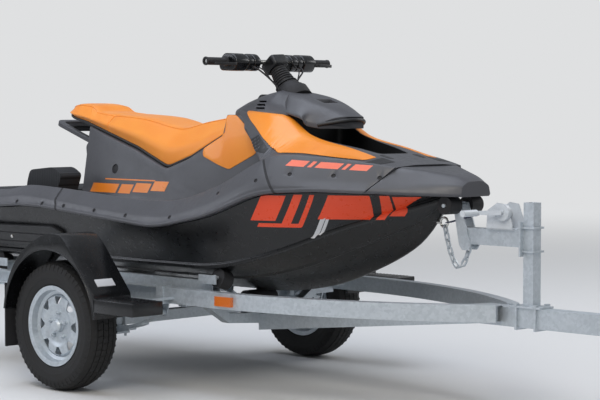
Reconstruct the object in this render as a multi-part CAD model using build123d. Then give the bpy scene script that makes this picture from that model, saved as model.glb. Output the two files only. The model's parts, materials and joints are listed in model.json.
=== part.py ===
from build123d import *
from math import atan2, cos, degrees, hypot, radians, sin
import os

os.makedirs("parts", exist_ok=True)

# Millimetres. +X is the bow, +Y is port, +Z is up. The shapes are drawn about the point on the ground
# under the middle of the trailer's axle, and the whole is shifted to its own middle when it is written.

# Craft, driving sizes
nose_x = 1735
craft_length = 3050
stern_x = nose_x - craft_length
transom_x = stern_x + 125
half_beam = 590
keel_z = 430
floor_skin = 12
fit_gap = 0.3

# Trailer, driving sizes
tyre_radius = 292.5
tyre_width = 160
bead_radius = 166
track = 1580
axle_z = tyre_radius
axle_side = 50
rail_y = 500
rail_width = 50
rail_height = 70
rail_top = 470
rail_wall = 4
rail_rear_x = -1120
rail_joint_x = 350
rail_bend_x = 600
rail_bend_radius = 2100
drawbar_width = 70
drawbar_height = 80
drawbar_top = 465
drawbar_rear_x = 1790
drawbar_front_x = 2720
post_x = 2028
post_side = 50
post_top = 890


# Shape helpers

def block(x0, x1, y0, y1, z0, z1):
    """A box between two corners."""
    return Pos((x0 + x1) / 2, (y0 + y1) / 2, (z0 + z1) / 2) * Box(abs(x1 - x0), abs(y1 - y0), abs(z1 - z0))


def rod(start, end, radius):
    """A round bar from one point to another."""
    a, b = Vector(*start), Vector(*end)
    return extrude(Plane(origin=a, z_dir=b - a) * Circle(radius), (b - a).length)


def tube(start, end, outer, inner):
    """A round tube from one point to another."""
    return rod(start, end, outer) - rod(start, end, inner)


def slab_y(points, y0, y1, radius=0):
    """A side-view outline of (x, z) points, its corners rounded, run from y0 to y1."""
    path = [(x, y0, z) for x, z in points]
    outline = FilletPolyline(*path, radius=radius, close=True) if radius else Polyline(*path, close=True)
    return extrude(make_face(outline), abs(y1 - y0), dir=(0, 1 if y1 > y0 else -1, 0))


def slab_x(points, x0, x1, radius=0):
    """A front-view outline of (y, z) points, run from x0 to x1."""
    path = [(x0, y, z) for y, z in points]
    outline = FilletPolyline(*path, radius=radius, close=True) if radius else Polyline(*path, close=True)
    return extrude(make_face(outline), abs(x1 - x0), dir=(1 if x1 > x0 else -1, 0, 0))


def slab_z(points, z0, z1, radius=0):
    """A plan outline of (x, y) points, run from z0 to z1."""
    path = [(x, y, z0) for x, y in points]
    outline = FilletPolyline(*path, radius=radius, close=True) if radius else Polyline(*path, close=True)
    return extrude(make_face(outline), abs(z1 - z0), dir=(0, 0, 1 if z1 > z0 else -1))


def section(x, points, radii):
    """A closed face across the craft at x, through (y, z) points, each corner with its own radius."""
    return make_face(FilletPolyline(*[(x, y, z) for y, z in points], radius=radii, close=True))


def both_sides(half_points):
    """Points of a starboard half, from the bottom up, joined to their port mirror."""
    return [(-y, z) for y, z in half_points] + [(y, z) for y, z in reversed(half_points)]


def port(shape):
    """The mirror image of a starboard shape."""
    return mirror(shape, about=Plane.XZ)


def pair(shape):
    """A starboard shape and its port mirror, as one node of two solids."""
    return Compound(children=[shape, port(shape)])


def at(table, x, column=1):
    """A column of a table, read at x by straight lines between its rows."""
    for low, high in zip(table, table[1:]):
        if low[0] <= x <= high[0]:
            share = (x - low[0]) / (high[0] - low[0])
            return low[column] + share * (high[column] - low[column])
    return table[-1][column] if x > table[-1][0] else table[0][column]


def smooth(table, step, start=0):
    """Rows of a table from index start on, with more between them on a smooth curve, about a step apart."""
    rows = list(table[:start])
    for i in range(start, len(table) - 1):
        here, there = table[i], table[i + 1]
        before = table[i - 1] if i else here
        beyond = table[i + 2] if i + 2 < len(table) else there
        span = there[0] - here[0]
        count = max(1, round(span / step))
        for k in range(count):
            t = k / count
            row = [here[0] + span * t]
            for a, b, c, d in zip(before[1:], here[1:], there[1:], beyond[1:]):
                slope_here = (c - a) / (there[0] - before[0]) * span
                slope_there = (d - b) / (beyond[0] - here[0]) * span
                row.append(b * (1 + 2 * t) * (1 - t) ** 2 + slope_here * t * (1 - t) ** 2
                           + c * t ** 2 * (3 - 2 * t) - slope_there * t ** 2 * (1 - t))
            rows.append(tuple(row))
    return rows + [table[-1]]


parts = {}
wide = 700
high = 1700

# Sheer line, seen from the side: everything above it is deck or gunwale, everything below it is hull.
# x, z, radius of the bend there
sheer_line = [
    (stern_x - 85, 800, 0),
    (-800, 787, 1200),
    (-620, 801, 900),
    (-440, 797, 1500),
    (370, 734, 700),
    (700, 800, 900),
    (960, 905, 500),
    (1200, 918, 1500),
    (nose_x + 65, 900, 0),
]


def side_region(line, up, y0, y1):
    """All that lies above or below a side-view line of (x, z, bend radius) rows."""
    end = high if up else 0
    points = [(x, z) for x, z, _ in line] + [(line[-1][0], end), (line[0][0], end)]
    return slab_y(points, y0, y1, [r for _, _, r in line] + [0, 0])


above_sheer = side_region(sheer_line, True, -wide, wide)
below_sheer = side_region(sheer_line, False, -wide, wide)

# Inner edge of the gunwales, in plan: x, y, radius of the bend there
inner_line = [
    (stern_x - 85, 400, 0),
    (transom_x, 485, 300),
    (-800, 500, 800),
    (370, 495, 900),
    (680, 467, 900),
    (960, 408, 900),
    (1200, 325, 900),
    (nose_x + 65, 60, 0),
]
inner_points = [(x, -y) for x, y, _ in inner_line] + [(x, y) for x, y, _ in reversed(inner_line)]
inner_radii = [r for _, _, r in inner_line] + [r for _, _, r in reversed(inner_line)]
inside_gunwales = slab_z(inner_points, 600, high, inner_radii)

# Lower hull: x, keel z, chine y, chine z, side y at the sheer
hull_stations = [
    (transom_x, keel_z, 455, 560, 545),
    (-440, keel_z, 470, 564, 565),
    (370, keel_z, 465, 563, 560),
    (660, 436, 446, 574, 540),
    (950, 482, 380, 645, 490),
    (1200, 566, 270, 745, 395),
    (1400, 662, 160, 815, 290),
    (1500, 745, 90, 850, 200),
    (1590, 868, 25, 884, 90),
]


def hull_section(x, keel, chine_y, chine_z, top_y):
    sheer = at(sheer_line, x)
    rise = sheer + 60 - chine_z
    raised_y = chine_y + (top_y - chine_y) * rise / (sheer - chine_z)
    points = [(0, keel), (-chine_y, chine_z), (-raised_y, chine_z + rise), (raised_y, chine_z + rise),
              (chine_y, chine_z)]
    return section(x, points, [0, 8, 0, 0, 8])


hull_stations = smooth(hull_stations, 60, 2)
hull_body = loft([hull_section(*row) for row in hull_stations], ruled=True) & below_sheer

# Gunwale, starboard: x, top z at the inner edge, fold y, fold z, outer y
rail_stations = [
    (stern_x, 845, 480, 822, 500),
    (transom_x, 862, 545, 835, 565),
    (-800, 874, 575, 842, half_beam),
    (-640, 898, 577, 852, half_beam),
    (-440, 893, 577, 845, half_beam),
    (370, 856, 573, 790, 588),
    (660, 925, 550, 850, 568),
    (950, 1062, 490, 965, 515),
    (1200, 1058, 395, 965, 420),
    (1400, 1036, 295, 958, 318),
    (1560, 1010, 210, 952, 232),
]


def rail_section(x, top, fold_y, fold_z, outer_y):
    inner = at(inner_line, x) - 25
    low = at(sheer_line, x) - 30
    points = [(-inner, low), (-inner, top), (-inner - 33, top), (-fold_y, fold_z),
              (-outer_y, low + 30), (-outer_y, low)]
    return section(x, points, [0, 0, 0, 14, 0, 0])


rail_body = loft([rail_section(*row) for row in smooth(rail_stations, 120)], ruled=True)
rail_body = (rail_body & above_sheer) - inside_gunwales

# Seams across the gunwale, as leaning cuts: x at z 915, and x gained for each unit of height
stern_seam = (-390, -0.6)
bow_seam = (1045, -0.93)
nose_seam = (1400, 0.75)
seam_gap = 3


def aft_of(seam, gap=0):
    """Everything aft of a leaning seam."""
    low, up, reference = 650, 1150, 915
    low_x = seam[0] + (low - reference) * seam[1] - gap
    up_x = seam[0] + (up - reference) * seam[1] - gap
    return slab_y([(-1600, low), (low_x, low), (up_x, up), (-1600, up)], -wide, wide)


gunwale_stern = rail_body & aft_of(stern_seam, seam_gap)
gunwale_mid = (rail_body - aft_of(stern_seam)) & aft_of(bow_seam, seam_gap)
gunwale_bow = (rail_body - aft_of(bow_seam)) & aft_of(nose_seam, seam_gap)

# Nose cap: x, half width at the bottom, fold half width, fold z, half width of the top, top z
nose_stations = [
    (1370, 332, 310, 960, 255, 1040),
    (1500, 262, 240, 955, 180, 1022),
    (1600, 200, 180, 953, 120, 1006),
    (1690, 138, 122, 952, 70, 988),
    (nose_x, 96, 86, 948, 45, 968),
]


def nose_section(x, bottom_y, fold_y, fold_z, top_y, top):
    low = at(sheer_line, x) - 30
    points = both_sides([(bottom_y, low), (bottom_y, low + 30), (fold_y, fold_z), (top_y, top)])
    return section(x, points, [0, 0, 12, 25, 25, 12, 0, 0])


nose_cap = (loft([nose_section(*row) for row in nose_stations]) & above_sheer) - aft_of(nose_seam)

# Front deck between the gunwales: x, shoulder z, top half width, top z
front_stations = [
    (430, 870, 180, 1265),
    (660, 925, 205, 1252),
    (800, 1005, 205, 1236),
    (950, 1062, 200, 1150),
    (1200, 1058, 185, 1094),
    (1400, 1036, 120, 1048),
    (1540, 1012, 70, 1022),
]


def front_section(x, shoulder_z, top_y, top):
    shoulder_y = at(inner_line, x) + 6
    points = both_sides([(shoulder_y, 690), (shoulder_y, shoulder_z), (top_y, top)])
    return section(x, points, [0, 0, 22, 22, 0, 0])


front_body = loft([front_section(*row) for row in front_stations])
front_body = front_body & above_sheer & inside_gunwales & aft_of(nose_seam, seam_gap)

# The rear edge of the front deck leans from the cowl down to the gunwale.
front_edge = [(380, 1400), (380, 700), (730, 700), (730, 980), (505, 1275), (505, 1400)]
front_body -= slab_y(front_edge, -wide, wide)

# Cover line: the flat top that the cowl and the deflector sit on
cover_z = 1240
hood_front_x = 790
front_body -= block(400, hood_front_x, -wide, wide, cover_z, 1400)

# Footwells, open to the stern, with sloping front ends
well_inner_y = 262
well_front_x = 860
well = slab_y([(-2000, 700), (700, 700), (well_front_x, 900), (well_front_x - 40, 1400), (-2000, 1400)],
              -wide, -well_inner_y)
front_body -= well + port(well)

# Open space under the deflector, with a floor
void_front_x = 1290
void_half = 165
void_floor = 985
void_plan = [(hood_front_x + 10, -void_half), (1000, -void_half), (void_front_x, -95)]
void = slab_z(void_plan + [(x, -y) for x, y in reversed(void_plan)], void_floor, 1400, 30)
front_body -= void

# Floor of the footwells and the boarding platform aft
floor_top = [(x, z + floor_skin, r) for x, z, r in sheer_line]
floor_plate = above_sheer & side_region(floor_top, False, -wide, wide) & inside_gunwales
floor_plate = floor_plate & block(stern_x, 1000, -wide, wide, 0, high)
platform_front_x = -700
platform_top = 858
platform = block(stern_x + 25, platform_front_x, -430, 430, 700, platform_top) & above_sheer

# Seat line: the seat rests on the pedestal along it. x, z, radius of the bend there
seat_line = [
    (-900, 1236, 0),
    (-640, 1190, 100),
    (-200, 1072, 200),
    (40, 984, 90),
    (200, 1036, 150),
    (432, 1150, 0),
    (432, cover_z, 0),
    (hood_front_x, cover_z, 0),
]

# Seat pedestal: x, bottom half width, top half width
pedestal_rear_x = -610
pedestal_stations = [
    (pedestal_rear_x, 215, 140),
    (-440, 255, 160),
    (-100, 268, 180),
    (380, 262, 190),
    (700, 240, 188),
]
pedestal = loft([section(x, both_sides([(low_y, 690), (top_y, 1300)]), [0, 0, 0, 0])
                 for x, low_y, top_y in pedestal_stations], ruled=True)
pedestal = pedestal & above_sheer & side_region(seat_line, False, -wide, wide)

# Seat: x, bottom half width, side half width, side z, top half width, top z
seat_stations = [
    (-845, 85, 98, 1248, 70, 1272),
    (-775, 122, 136, 1240, 95, 1296),
    (-640, 146, 158, 1225, 105, 1288),
    (-585, 152, 165, 1215, 112, 1258),
    (-200, 188, 198, 1140, 128, 1228),
    (40, 206, 204, 1080, 114, 1184),
    (200, 202, 190, 1110, 100, 1212),
    (425, 184, 168, 1190, 80, 1244),
]


def seat_section(x, bottom_y, side_y, side_z, top_y, top):
    low = at(seat_line, x) - 25
    points = both_sides([(bottom_y, low), (bottom_y, low + 25), (side_y, side_z), (top_y, top)])
    return section(x, points, [0, 0, 20, 20, 20, 20, 0, 0])


seat = loft([seat_section(*row) for row in smooth(seat_stations, 50)], ruled=True)
seat = seat & side_region(seat_line, True, -wide, wide)

# Knee panels: orange covers let into the pedestal between seat and front deck
knee_outline = [(205, 1020), (440, 985), (640, 1062), (650, 1100), (530, 1239), (436, 1239), (436, 1130)]
knee_region = slab_y(knee_outline, -wide, -150)
knee_panel = (pedestal & knee_region) - front_body

# Side panels: orange covers let into the shoulders of the front deck
side_outline = [(560, 1300), (830, 1300), (985, 1185), (1300, 1125), (1335, 1048), (1000, 1076), (860, 1100),
                (735, 1180)]
side_cut = slab_y(side_outline, -wide, -void_half)
side_panel = front_body & side_cut

# Hood cowl round the steering column: x, base half width, top half width, top z
hood_stations = [
    (446, 130, 80, 1254),
    (520, 176, 95, 1300),
    (610, 186, 100, 1345),
    (700, 186, 100, 1350),
    (hood_front_x, 178, 95, 1322),
]
hood = loft([section(x, both_sides([(base_y, cover_z), (top_y, top)]),
                     [6, 14 if x < 460 else 25, 14 if x < 460 else 25, 6])
             for x, base_y, top_y, top in hood_stations])

# Deflector, reaching out over the open space: x, half width, base z, side z, top half width, top z
deflector_stations = [
    (hood_front_x + fit_gap, 178, 1241, 1252, 95, 1322),
    (900, 184, 1216, 1230, 110, 1290),
    (1010, 165, 1192, 1208, 110, 1246),
    (1075, 130, 1178, 1192, 90, 1212),
]


def deflector_section(x, side_y, base, side_z, top_y, top):
    return section(x, both_sides([(side_y, base), (side_y, side_z), (top_y, top)]), [0, 5, 12, 12, 5, 0])


deflector = loft([deflector_section(*row) for row in deflector_stations])
deflector -= slab_y([(hood_front_x - 9, 1100), (hood_front_x - 9, 1296), (900, 1262), (1050, 1200),
                     (1100, 1100)], -88, 88)

# Put the deck together
deck = pedestal + floor_plate + platform + front_body
deck = deck - knee_region - port(knee_region) - side_cut - port(side_cut)

# Rear pad, step wedges, grab handle
pad_side = [(pedestal_rear_x - fit_gap, 1040), (pedestal_rear_x - 40, 1080), (-700, 1192),
            (pedestal_rear_x - fit_gap, 1176)]
pad_half = 84
rear_pad = slab_y(pad_side, -pad_half, pad_half)
wedge = slab_y([(-770, platform_top), (-770, 900), (-745, 968), (-560, 985), (-490, 950),
                (-530, platform_top)], -428, -300, 0)
wedge += block(platform_front_x + fit_gap, -530, -428, -300, 700, platform_top) & above_sheer
wedge -= floor_plate

handle_half = 122
handle_slope = atan2(120, 385)
handle_plate = slab_z([(-44, -handle_half), (-44, handle_half), (-410, handle_half * 0.86),
                       (-410, -handle_half * 0.86)], -14, 14, 26)
finger_slot = slab_z([(-382, -70), (-382, 70), (-332, 84), (-332, -84)], -40, 40, 12)
front_slot = slab_z([(-290, -88), (-290, 88), (-80, 92), (-80, -92)], -40, 40, 12)
handle = Pos(-565, 0, 1078) * Rot(0, degrees(handle_slope), 0) * (handle_plate - finger_slot - front_slot)
handle_leg = slab_y([(-660, platform_top), (-690, 1090), (-655, 1110), (-615, 1085), (-615, platform_top)],
                    -121, -97)
handle = handle + handle_leg + port(handle_leg) - rear_pad
handle -= block(pedestal_rear_x, 0, -200, 200, 600, 1300)

# Jet drive: tunnel at the stern, intake ahead of it, engine bay inside the hull
pump_x = -1000
pump_z = 565
pump_bore = 70
pump_wall = 9
nozzle_pivot_x = -1125
nozzle_out_x = -1235
tunnel_half = 128
tunnel_top = 715
plate_z = 470
intake_rear_x = -900
intake_front_x = -560
intake_half = 70
shaft_radius = 12
running_gap = 5


def spin_x(points, z):
    """A ring about a line along X at height z, from (x, radius) points."""
    outline = make_face(Polyline(*[(x, 0, z + r) for x, r in points], close=True))
    return revolve(outline, Axis((0, 0, z), (1, 0, 0)))


def spin_y(points, x, z):
    """A ring about a line along Y, from (y, radius) points."""
    outline = make_face(Polyline(*[(x, y, z + r) for y, r in points], close=True))
    return revolve(outline, Axis((x, 0, z), (0, 1, 0)))


tunnel = block(transom_x - 50, pump_x, -tunnel_half, tunnel_half, 380, tunnel_top)
duct_side = [(pump_x - 1, pump_z - pump_bore), (pump_x - 1, pump_z + pump_bore),
             (intake_rear_x, pump_z + pump_bore),
             (intake_front_x, 500), (intake_front_x, 400), (intake_rear_x, 400),
             (intake_rear_x - 30, pump_z - pump_bore)]
duct = slab_y(duct_side, -intake_half, intake_half)
shaft_bore = rod((-840, 0, pump_z), (-640, 0, pump_z), shaft_radius + running_gap)
engine = block(120, 680, -210, 210, 520, 800)
engine_pocket = block(100, 700, -230, 230, 520, 830)

hull = hull_body - tunnel - duct - shaft_bore - engine_pocket
deck = deck - (engine_pocket & block(100, 700, -230, 230, 700, 830))

ride_plate = block(stern_x + 30, pump_x - fit_gap, -tunnel_half + fit_gap, tunnel_half - fit_gap, plate_z,
                   plate_z + 8)

grate_bars = [-45, -15, 15, 45]
grate = block(-740, -726, -intake_half + fit_gap, intake_half - fit_gap, 452, 460)
for y in grate_bars:
    grate += block(intake_rear_x + fit_gap, intake_front_x - fit_gap, y - 4, y + 4, 448, 464)

# Jet pump: a flanged housing with a drawn-in tail, vanes about a hub, arms for bucket and nozzle
pump_outer = pump_bore + pump_wall
pump_rear_x = -1085
tail_start_x = -1096
tail_end_x = -1112
tail_bore = 44
tail_outer = tail_bore + pump_wall
flange_x = pump_x - 8
flange_radius = pump_outer + 6
pump = spin_x([(pump_x - fit_gap, pump_bore), (pump_x - fit_gap, flange_radius), (flange_x, flange_radius),
               (flange_x, pump_outer), (pump_rear_x, pump_outer), (tail_start_x, tail_outer),
               (tail_end_x, tail_outer), (tail_end_x, tail_bore), (tail_start_x, tail_bore),
               (pump_rear_x, pump_bore)], pump_z)
journal_radius = 9
journal_rear_x = -1062
stator_hub = spin_x([(-1095, 0), (-1095, 12), (-1046, 26), (-1042, 26), (-1042, 0)], pump_z)
stator_hub -= rod((journal_rear_x - running_gap, 0, pump_z), (-1000, 0, pump_z), journal_radius + fit_gap)
vane = block(-1082, -1046, -2, 2, pump_z + 20, pump_z + pump_bore + 3)
vane_count = 5
for i in range(vane_count):
    stator_hub += vane.rotate(Axis((0, 0, pump_z), (1, 0, 0)), 360 / vane_count * i)
pump += stator_hub
bucket_arm = slab_y([(-1010, pump_z - 22), (-1010, pump_z + 22), (nozzle_pivot_x - 14, pump_z + 12),
                     (nozzle_pivot_x - 14, pump_z - 12)], 78, 86, 5)
arm_pad = block(-1060, -1010, 70, 80, pump_z - 22, pump_z + 22)
arm_pad -= spin_x([(-1120, 0), (-1120, 74), (-990, 74), (-990, 0)], pump_z)
bucket_pin = rod((nozzle_pivot_x, 78, pump_z), (nozzle_pivot_x, 106, pump_z), 6)
yaw_ear = block(nozzle_pivot_x - 14, -1060, -12, 12, pump_z + pump_outer - 3, pump_z + pump_outer + 4)
yaw_pin = rod((nozzle_pivot_x, 0, pump_z + 69), (nozzle_pivot_x, 0, pump_z + pump_outer), 5)
side_parts = bucket_arm + arm_pad + bucket_pin
pump += side_parts + port(side_parts)
pump += yaw_ear + yaw_pin + yaw_ear.mirror(Plane((0, 0, pump_z))) + yaw_pin.mirror(Plane((0, 0, pump_z)))

blade = Pos(-1022, 0, pump_z + 42) * Rot(0, 0, 38) * Box(46, 4, 60)
impeller = spin_x([(journal_rear_x, 0), (journal_rear_x, journal_radius), (-1036, journal_radius),
                   (-1036, 26), (-1005, 22), (-985, shaft_radius), (-660, shaft_radius), (-660, 0)], pump_z)
blade_count = 3
for i in range(blade_count):
    impeller += blade.rotate(Axis((0, 0, pump_z), (1, 0, 0)), 360 / blade_count * i)
impeller = impeller & spin_x([(-1100, 0), (-1100, 20), (-1038, 20), (-1038, pump_bore - running_gap),
                              (-1003, pump_bore - running_gap), (-1003, 30), (-600, 30), (-600, 0)], pump_z)

nozzle = spin_x([(-1120, 62), (-1120, 67), (nozzle_out_x, 42), (nozzle_out_x, 37)], pump_z)
nozzle_boss = rod((nozzle_pivot_x, 0, pump_z + 60), (nozzle_pivot_x, 0, pump_z + 71), 11)
nozzle_boss -= rod((nozzle_pivot_x, 0, pump_z + 50), (nozzle_pivot_x, 0, pump_z + 80), 5 + fit_gap)
nozzle -= rod((nozzle_pivot_x, 0, pump_z - 80), (nozzle_pivot_x, 0, pump_z + 80), 5 + fit_gap)
nozzle += nozzle_boss + nozzle_boss.mirror(Plane((0, 0, pump_z)))

# Reverse bucket: a curved shell about the hinge, and two cheeks
bucket_radius = 138
bucket_half = 97
shell = tube((nozzle_pivot_x, -bucket_half - 4, pump_z), (nozzle_pivot_x, bucket_half + 4, pump_z),
             bucket_radius, bucket_radius - 5)
wedge_angles = (50, 120)
reach = 260
bucket_wedge = [(nozzle_pivot_x, pump_z)]
for angle in (wedge_angles[0], 85, wedge_angles[1]):
    bucket_wedge.append((nozzle_pivot_x - reach * cos(radians(angle)), pump_z + reach * sin(radians(angle))))
bucket = shell & slab_y(bucket_wedge, -200, 200)
cheek = rod((nozzle_pivot_x, bucket_half, pump_z), (nozzle_pivot_x, bucket_half + 4, pump_z),
            bucket_radius - 1)
cheek = (cheek & slab_y(bucket_wedge, -200, 200)) + rod((nozzle_pivot_x, bucket_half, pump_z),
                                                      (nozzle_pivot_x, bucket_half + 4, pump_z), 18)
cheek -= rod((nozzle_pivot_x, 0, pump_z), (nozzle_pivot_x, 200, pump_z), 6 + fit_gap)
bucket += cheek + port(cheek)

# Eyes: bow eye on the stem, two stern eyes on the transom
eye_wire = 5
bow_eye_x = 1566
bow_eye_z = 790
bow_eye_radius = 20
bow_eye = Pos(bow_eye_x, 0, bow_eye_z) * Rot(90, 0, 0) * Torus(bow_eye_radius, eye_wire)
bow_eye += rod((bow_eye_x - 44, 0, bow_eye_z), (bow_eye_x - 19, 0, bow_eye_z), 7)
bow_eye -= hull
stern_eye_y = -330
stern_eye_z = 640
stern_eye_radius = 18
stern_plate = 5
stern_eye = Pos(transom_x - stern_eye_radius - stern_plate, stern_eye_y, stern_eye_z) * Rot(90, 0, 0) * Torus(
    stern_eye_radius, eye_wire)
stern_eye += block(transom_x - stern_plate, transom_x, stern_eye_y - 20, stern_eye_y + 20, stern_eye_z - 30,
                   stern_eye_z + 30)
eyes = Compound(children=[bow_eye, stern_eye, port(stern_eye)])

# Side sponsons near the stern, let into the hull's side by a flat recess
sponson_side = [(-1130, -52), (-1130, 52), (-420, 66), (-352, 40), (-380, -40), (-1080, -56)]
side_lean = degrees(atan2(95, 227))
sponson_place = Pos(0, -508, 650) * Rot(side_lean, 0, 0)
recess = sponson_place * slab_y(sponson_side, -60, 8)
sponson = sponson_place * slab_y(sponson_side, -16, 8 - fit_gap)
hull -= recess + port(recess)

# Steering: the column leans back from the cowl; the bar, pods, grips and levers turn with it
column_foot = Vector(642, 0, 1352)
column_head = Vector(530, 0, 1488)
column_line = (column_head - column_foot).normalized()
column_lean = degrees(atan2(column_foot.X - column_head.X, column_head.Z - column_foot.Z))


def along(distance):
    """A point on the steering axis, measured up from the cowl."""
    return column_foot + column_line * distance


hood += rod(along(-60), along(24), 46) & block(500, 780, -100, 100, cover_z, 1500)
hood -= rod(along(-45), along(30), shaft_radius + fit_gap)
column = rod(along(-30), along(40), shaft_radius) + rod(along(24 + running_gap), along(50), 42)
column += rod(along(40), along(135), 33)
column += Pos(*along(148)) * Rot(0, -column_lean, 0) * Box(74, 84, 52)
bar_point = Vector(505, 0, 1480)
bar_radius = 11
bar_half = 392
grip_length = 128
bar = rod((bar_point.X, -bar_half + 6, bar_point.Z), (bar_point.X, bar_half - 6, bar_point.Z), bar_radius)
column = column - rod((bar_point.X, -100, bar_point.Z), (bar_point.X, 100, bar_point.Z), bar_radius + fit_gap)
pod_outline = [(452, 1440), (440, 1478), (478, 1520), (540, 1516), (572, 1482), (545, 1436)]
pod = slab_y(pod_outline, -256, -96, 12) - rod((bar_point.X, -300, bar_point.Z),
                                               (bar_point.X, 0, bar_point.Z), bar_radius + fit_gap)
grip = tube((bar_point.X, -bar_half, bar_point.Z), (bar_point.X, -bar_half + grip_length, bar_point.Z), 17,
            bar_radius + fit_gap)
grip += rod((bar_point.X, -bar_half, bar_point.Z), (bar_point.X, -bar_half + 5, bar_point.Z), 19)
lever = slab_z([(548, -240), (572, -262), (566, -330), (548, -372), (540, -366), (552, -326), (556, -268)],
               1462, 1474)
lever += block(540, 570, -262, -236, 1460, 1476)
lever -= pod

parts["deck"] = deck
parts["gunwale_stern"] = pair(gunwale_stern)
parts["gunwale_mid"] = pair(gunwale_mid)
parts["gunwale_bow"] = pair(gunwale_bow)
parts["nose_cap"] = nose_cap
parts["side_panels"] = pair(side_panel)
parts["knee_panels"] = pair(knee_panel)
parts["hood_cowl"] = hood
parts["deflector"] = deflector
parts["seat"] = seat
parts["deck_pads"] = Compound(children=[rear_pad, wedge, port(wedge)])
parts["grab_handle"] = handle
parts["hull"] = hull
parts["engine"] = engine
parts["sponsons"] = pair(sponson)
parts["eyes"] = eyes
parts["ride_plate"] = ride_plate
parts["intake_grate"] = grate
parts["pump_housing"] = pump
parts["impeller"] = impeller
parts["steering_nozzle"] = nozzle
parts["reverse_bucket"] = bucket
parts["steering_column"] = column
parts["handlebar"] = bar
parts["control_pods"] = pair(pod + lever)
parts["grips"] = pair(grip)

# Trailer wheels: tyre, steel wheel with vents, hub with nuts and a dust cap
wheel_y = -track / 2
lip_radius = 182
disc_face = 30
vent_count = 8
stud_circle = 57
stud_count = 5
stub_radius = 18


def tyre_shape():
    """A tyre's ring, its walls and crown in arcs, drawn at the starboard wheel."""
    half = tyre_width / 2
    bead = 61
    shoulder = half - 14

    def spot(y, radius):
        return (0, wheel_y + y, axle_z + radius)

    edges = [Line(spot(bead, bead_radius), spot(-bead, bead_radius))]
    for side in (-1, 1):
        edges.append(Line(spot(side * bead, bead_radius), spot(side * bead, lip_radius + 3)))
        edges.append(ThreePointArc(spot(side * bead, lip_radius + 3), spot(side * (half - 5), 202),
                                   spot(side * half, 228)))
        edges.append(ThreePointArc(spot(side * half, 228), spot(side * (half - 3), 258),
                                   spot(side * shoulder, 283)))
    edges.append(ThreePointArc(spot(-shoulder, 283), spot(0, tyre_radius), spot(shoulder, 283)))
    return revolve(make_face(Wire(edges)), Axis((0, 0, axle_z), (0, 1, 0)))


def wheel_shape():
    """A steel wheel: rolled rim with a drop centre, and a dished disc with vents."""
    w = wheel_y
    rim = [(w - 70, lip_radius), (w - 66, lip_radius), (w - 63, 168), (w - 62, bead_radius - fit_gap),
           (w - 34, 161), (w - 30, 146), (w + 12, 146), (w + 18, 161), (w + 62, bead_radius - fit_gap),
           (w + 63, 168), (w + 66, lip_radius), (w + 70, lip_radius), (w + 66, 162), (w + 16, 157),
           (w + 10, 142),
           (w - 32, 142), (w - 38, 157), (w - 66, 162)]
    disc = [(w - 20, 143), (w - 26, 143), (w - 40, 132), (w - 44, 100), (w - disc_face - 4, 78),
            (w - disc_face - 4, 31), (w - disc_face, 31), (w - disc_face, 78), (w - 39, 100), (w - 35, 132)]
    shape = spin_y(rim, 0, axle_z) + spin_y(disc, 0, axle_z)
    vent = [(-17, 128), (17, 128), (7, 105), (-7, 105)]
    hole = slab_y([(x, axle_z + r) for x, r in vent], w - 60, w - 20, 4)
    for i in range(vent_count):
        shape -= hole.rotate(Axis((0, 0, axle_z), (0, 1, 0)), 360 / vent_count * i)
    return shape


def hub_shape():
    """A hub behind the wheel's disc, nuts in front of it and a dust cap."""
    w = wheel_y
    face = w - disc_face
    profile = [(w + 60, stub_radius + fit_gap), (w + 60, 46), (w - 10, 46), (w - 10, 72), (face, 72),
               (face, 32),
               (face - 22, 30), (face - 32, 22), (face - 34, 0), (face - 28, 0),
               (face - 28, stub_radius + fit_gap)]
    shape = spin_y(profile, 0, axle_z)
    for i in range(stud_count):
        turn = radians(360 / stud_count * i + 90)
        x = stud_circle * cos(turn)
        z = axle_z + stud_circle * sin(turn)
        nut = Pos(x, face - 4, z) * Rot(90, 0, 0) * extrude(RegularPolygon(11, 6), 16)
        shape += nut + rod((x, face - 18, z), (x, face - 26, z), 6)
    return shape


tyre = tyre_shape()
wheel = wheel_shape()
hub = hub_shape()

# Axle beam with its stubs
beam_half = track / 2 - 78
axle = block(-axle_side / 2, axle_side / 2, -beam_half, beam_half, axle_z - axle_side / 2,
             axle_z + axle_side / 2)
stub = rod((0, wheel_y - disc_face - 26, axle_z), (0, -beam_half, axle_z), stub_radius)
backing = rod((0, -beam_half, axle_z), (0, -beam_half - 8, axle_z), 44)
axle += stub + port(stub) + backing + port(backing)

# Leaf springs under the axle, with eyes at both ends
leaf_radius = 655
leaf_width = 45
leaf_thickness = 8
leaf_lengths = [318, 215, 125]
spring_top = axle_z - axle_side / 2 - fit_gap
spring_centre_z = spring_top + leaf_radius
springs = []
for i, half_length in enumerate(leaf_lengths):
    inner = leaf_radius + i * (leaf_thickness + fit_gap)
    ring = tube((0, -rail_y - leaf_width / 2, spring_centre_z),
                (0, -rail_y + leaf_width / 2, spring_centre_z),
                inner + leaf_thickness, inner)
    springs.append(ring & block(-half_length, half_length, -600, -400, 100, 450))
springs[0] -= block(-axle_side / 2 - 1, axle_side / 2 + 1, -600, -400, spring_top,
                    spring_top + leaf_thickness)
eye_x = leaf_lengths[0]
eye_z = spring_centre_z - (leaf_radius ** 2 - eye_x ** 2) ** 0.5
for x in (-eye_x, eye_x):
    springs[0] += rod((x, -rail_y - leaf_width / 2, eye_z), (x, -rail_y + leaf_width / 2, eye_z), 15)
    springs[0] -= rod((x, -rail_y - 60, eye_z), (x, -rail_y + 60, eye_z), 8 + fit_gap)

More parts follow.
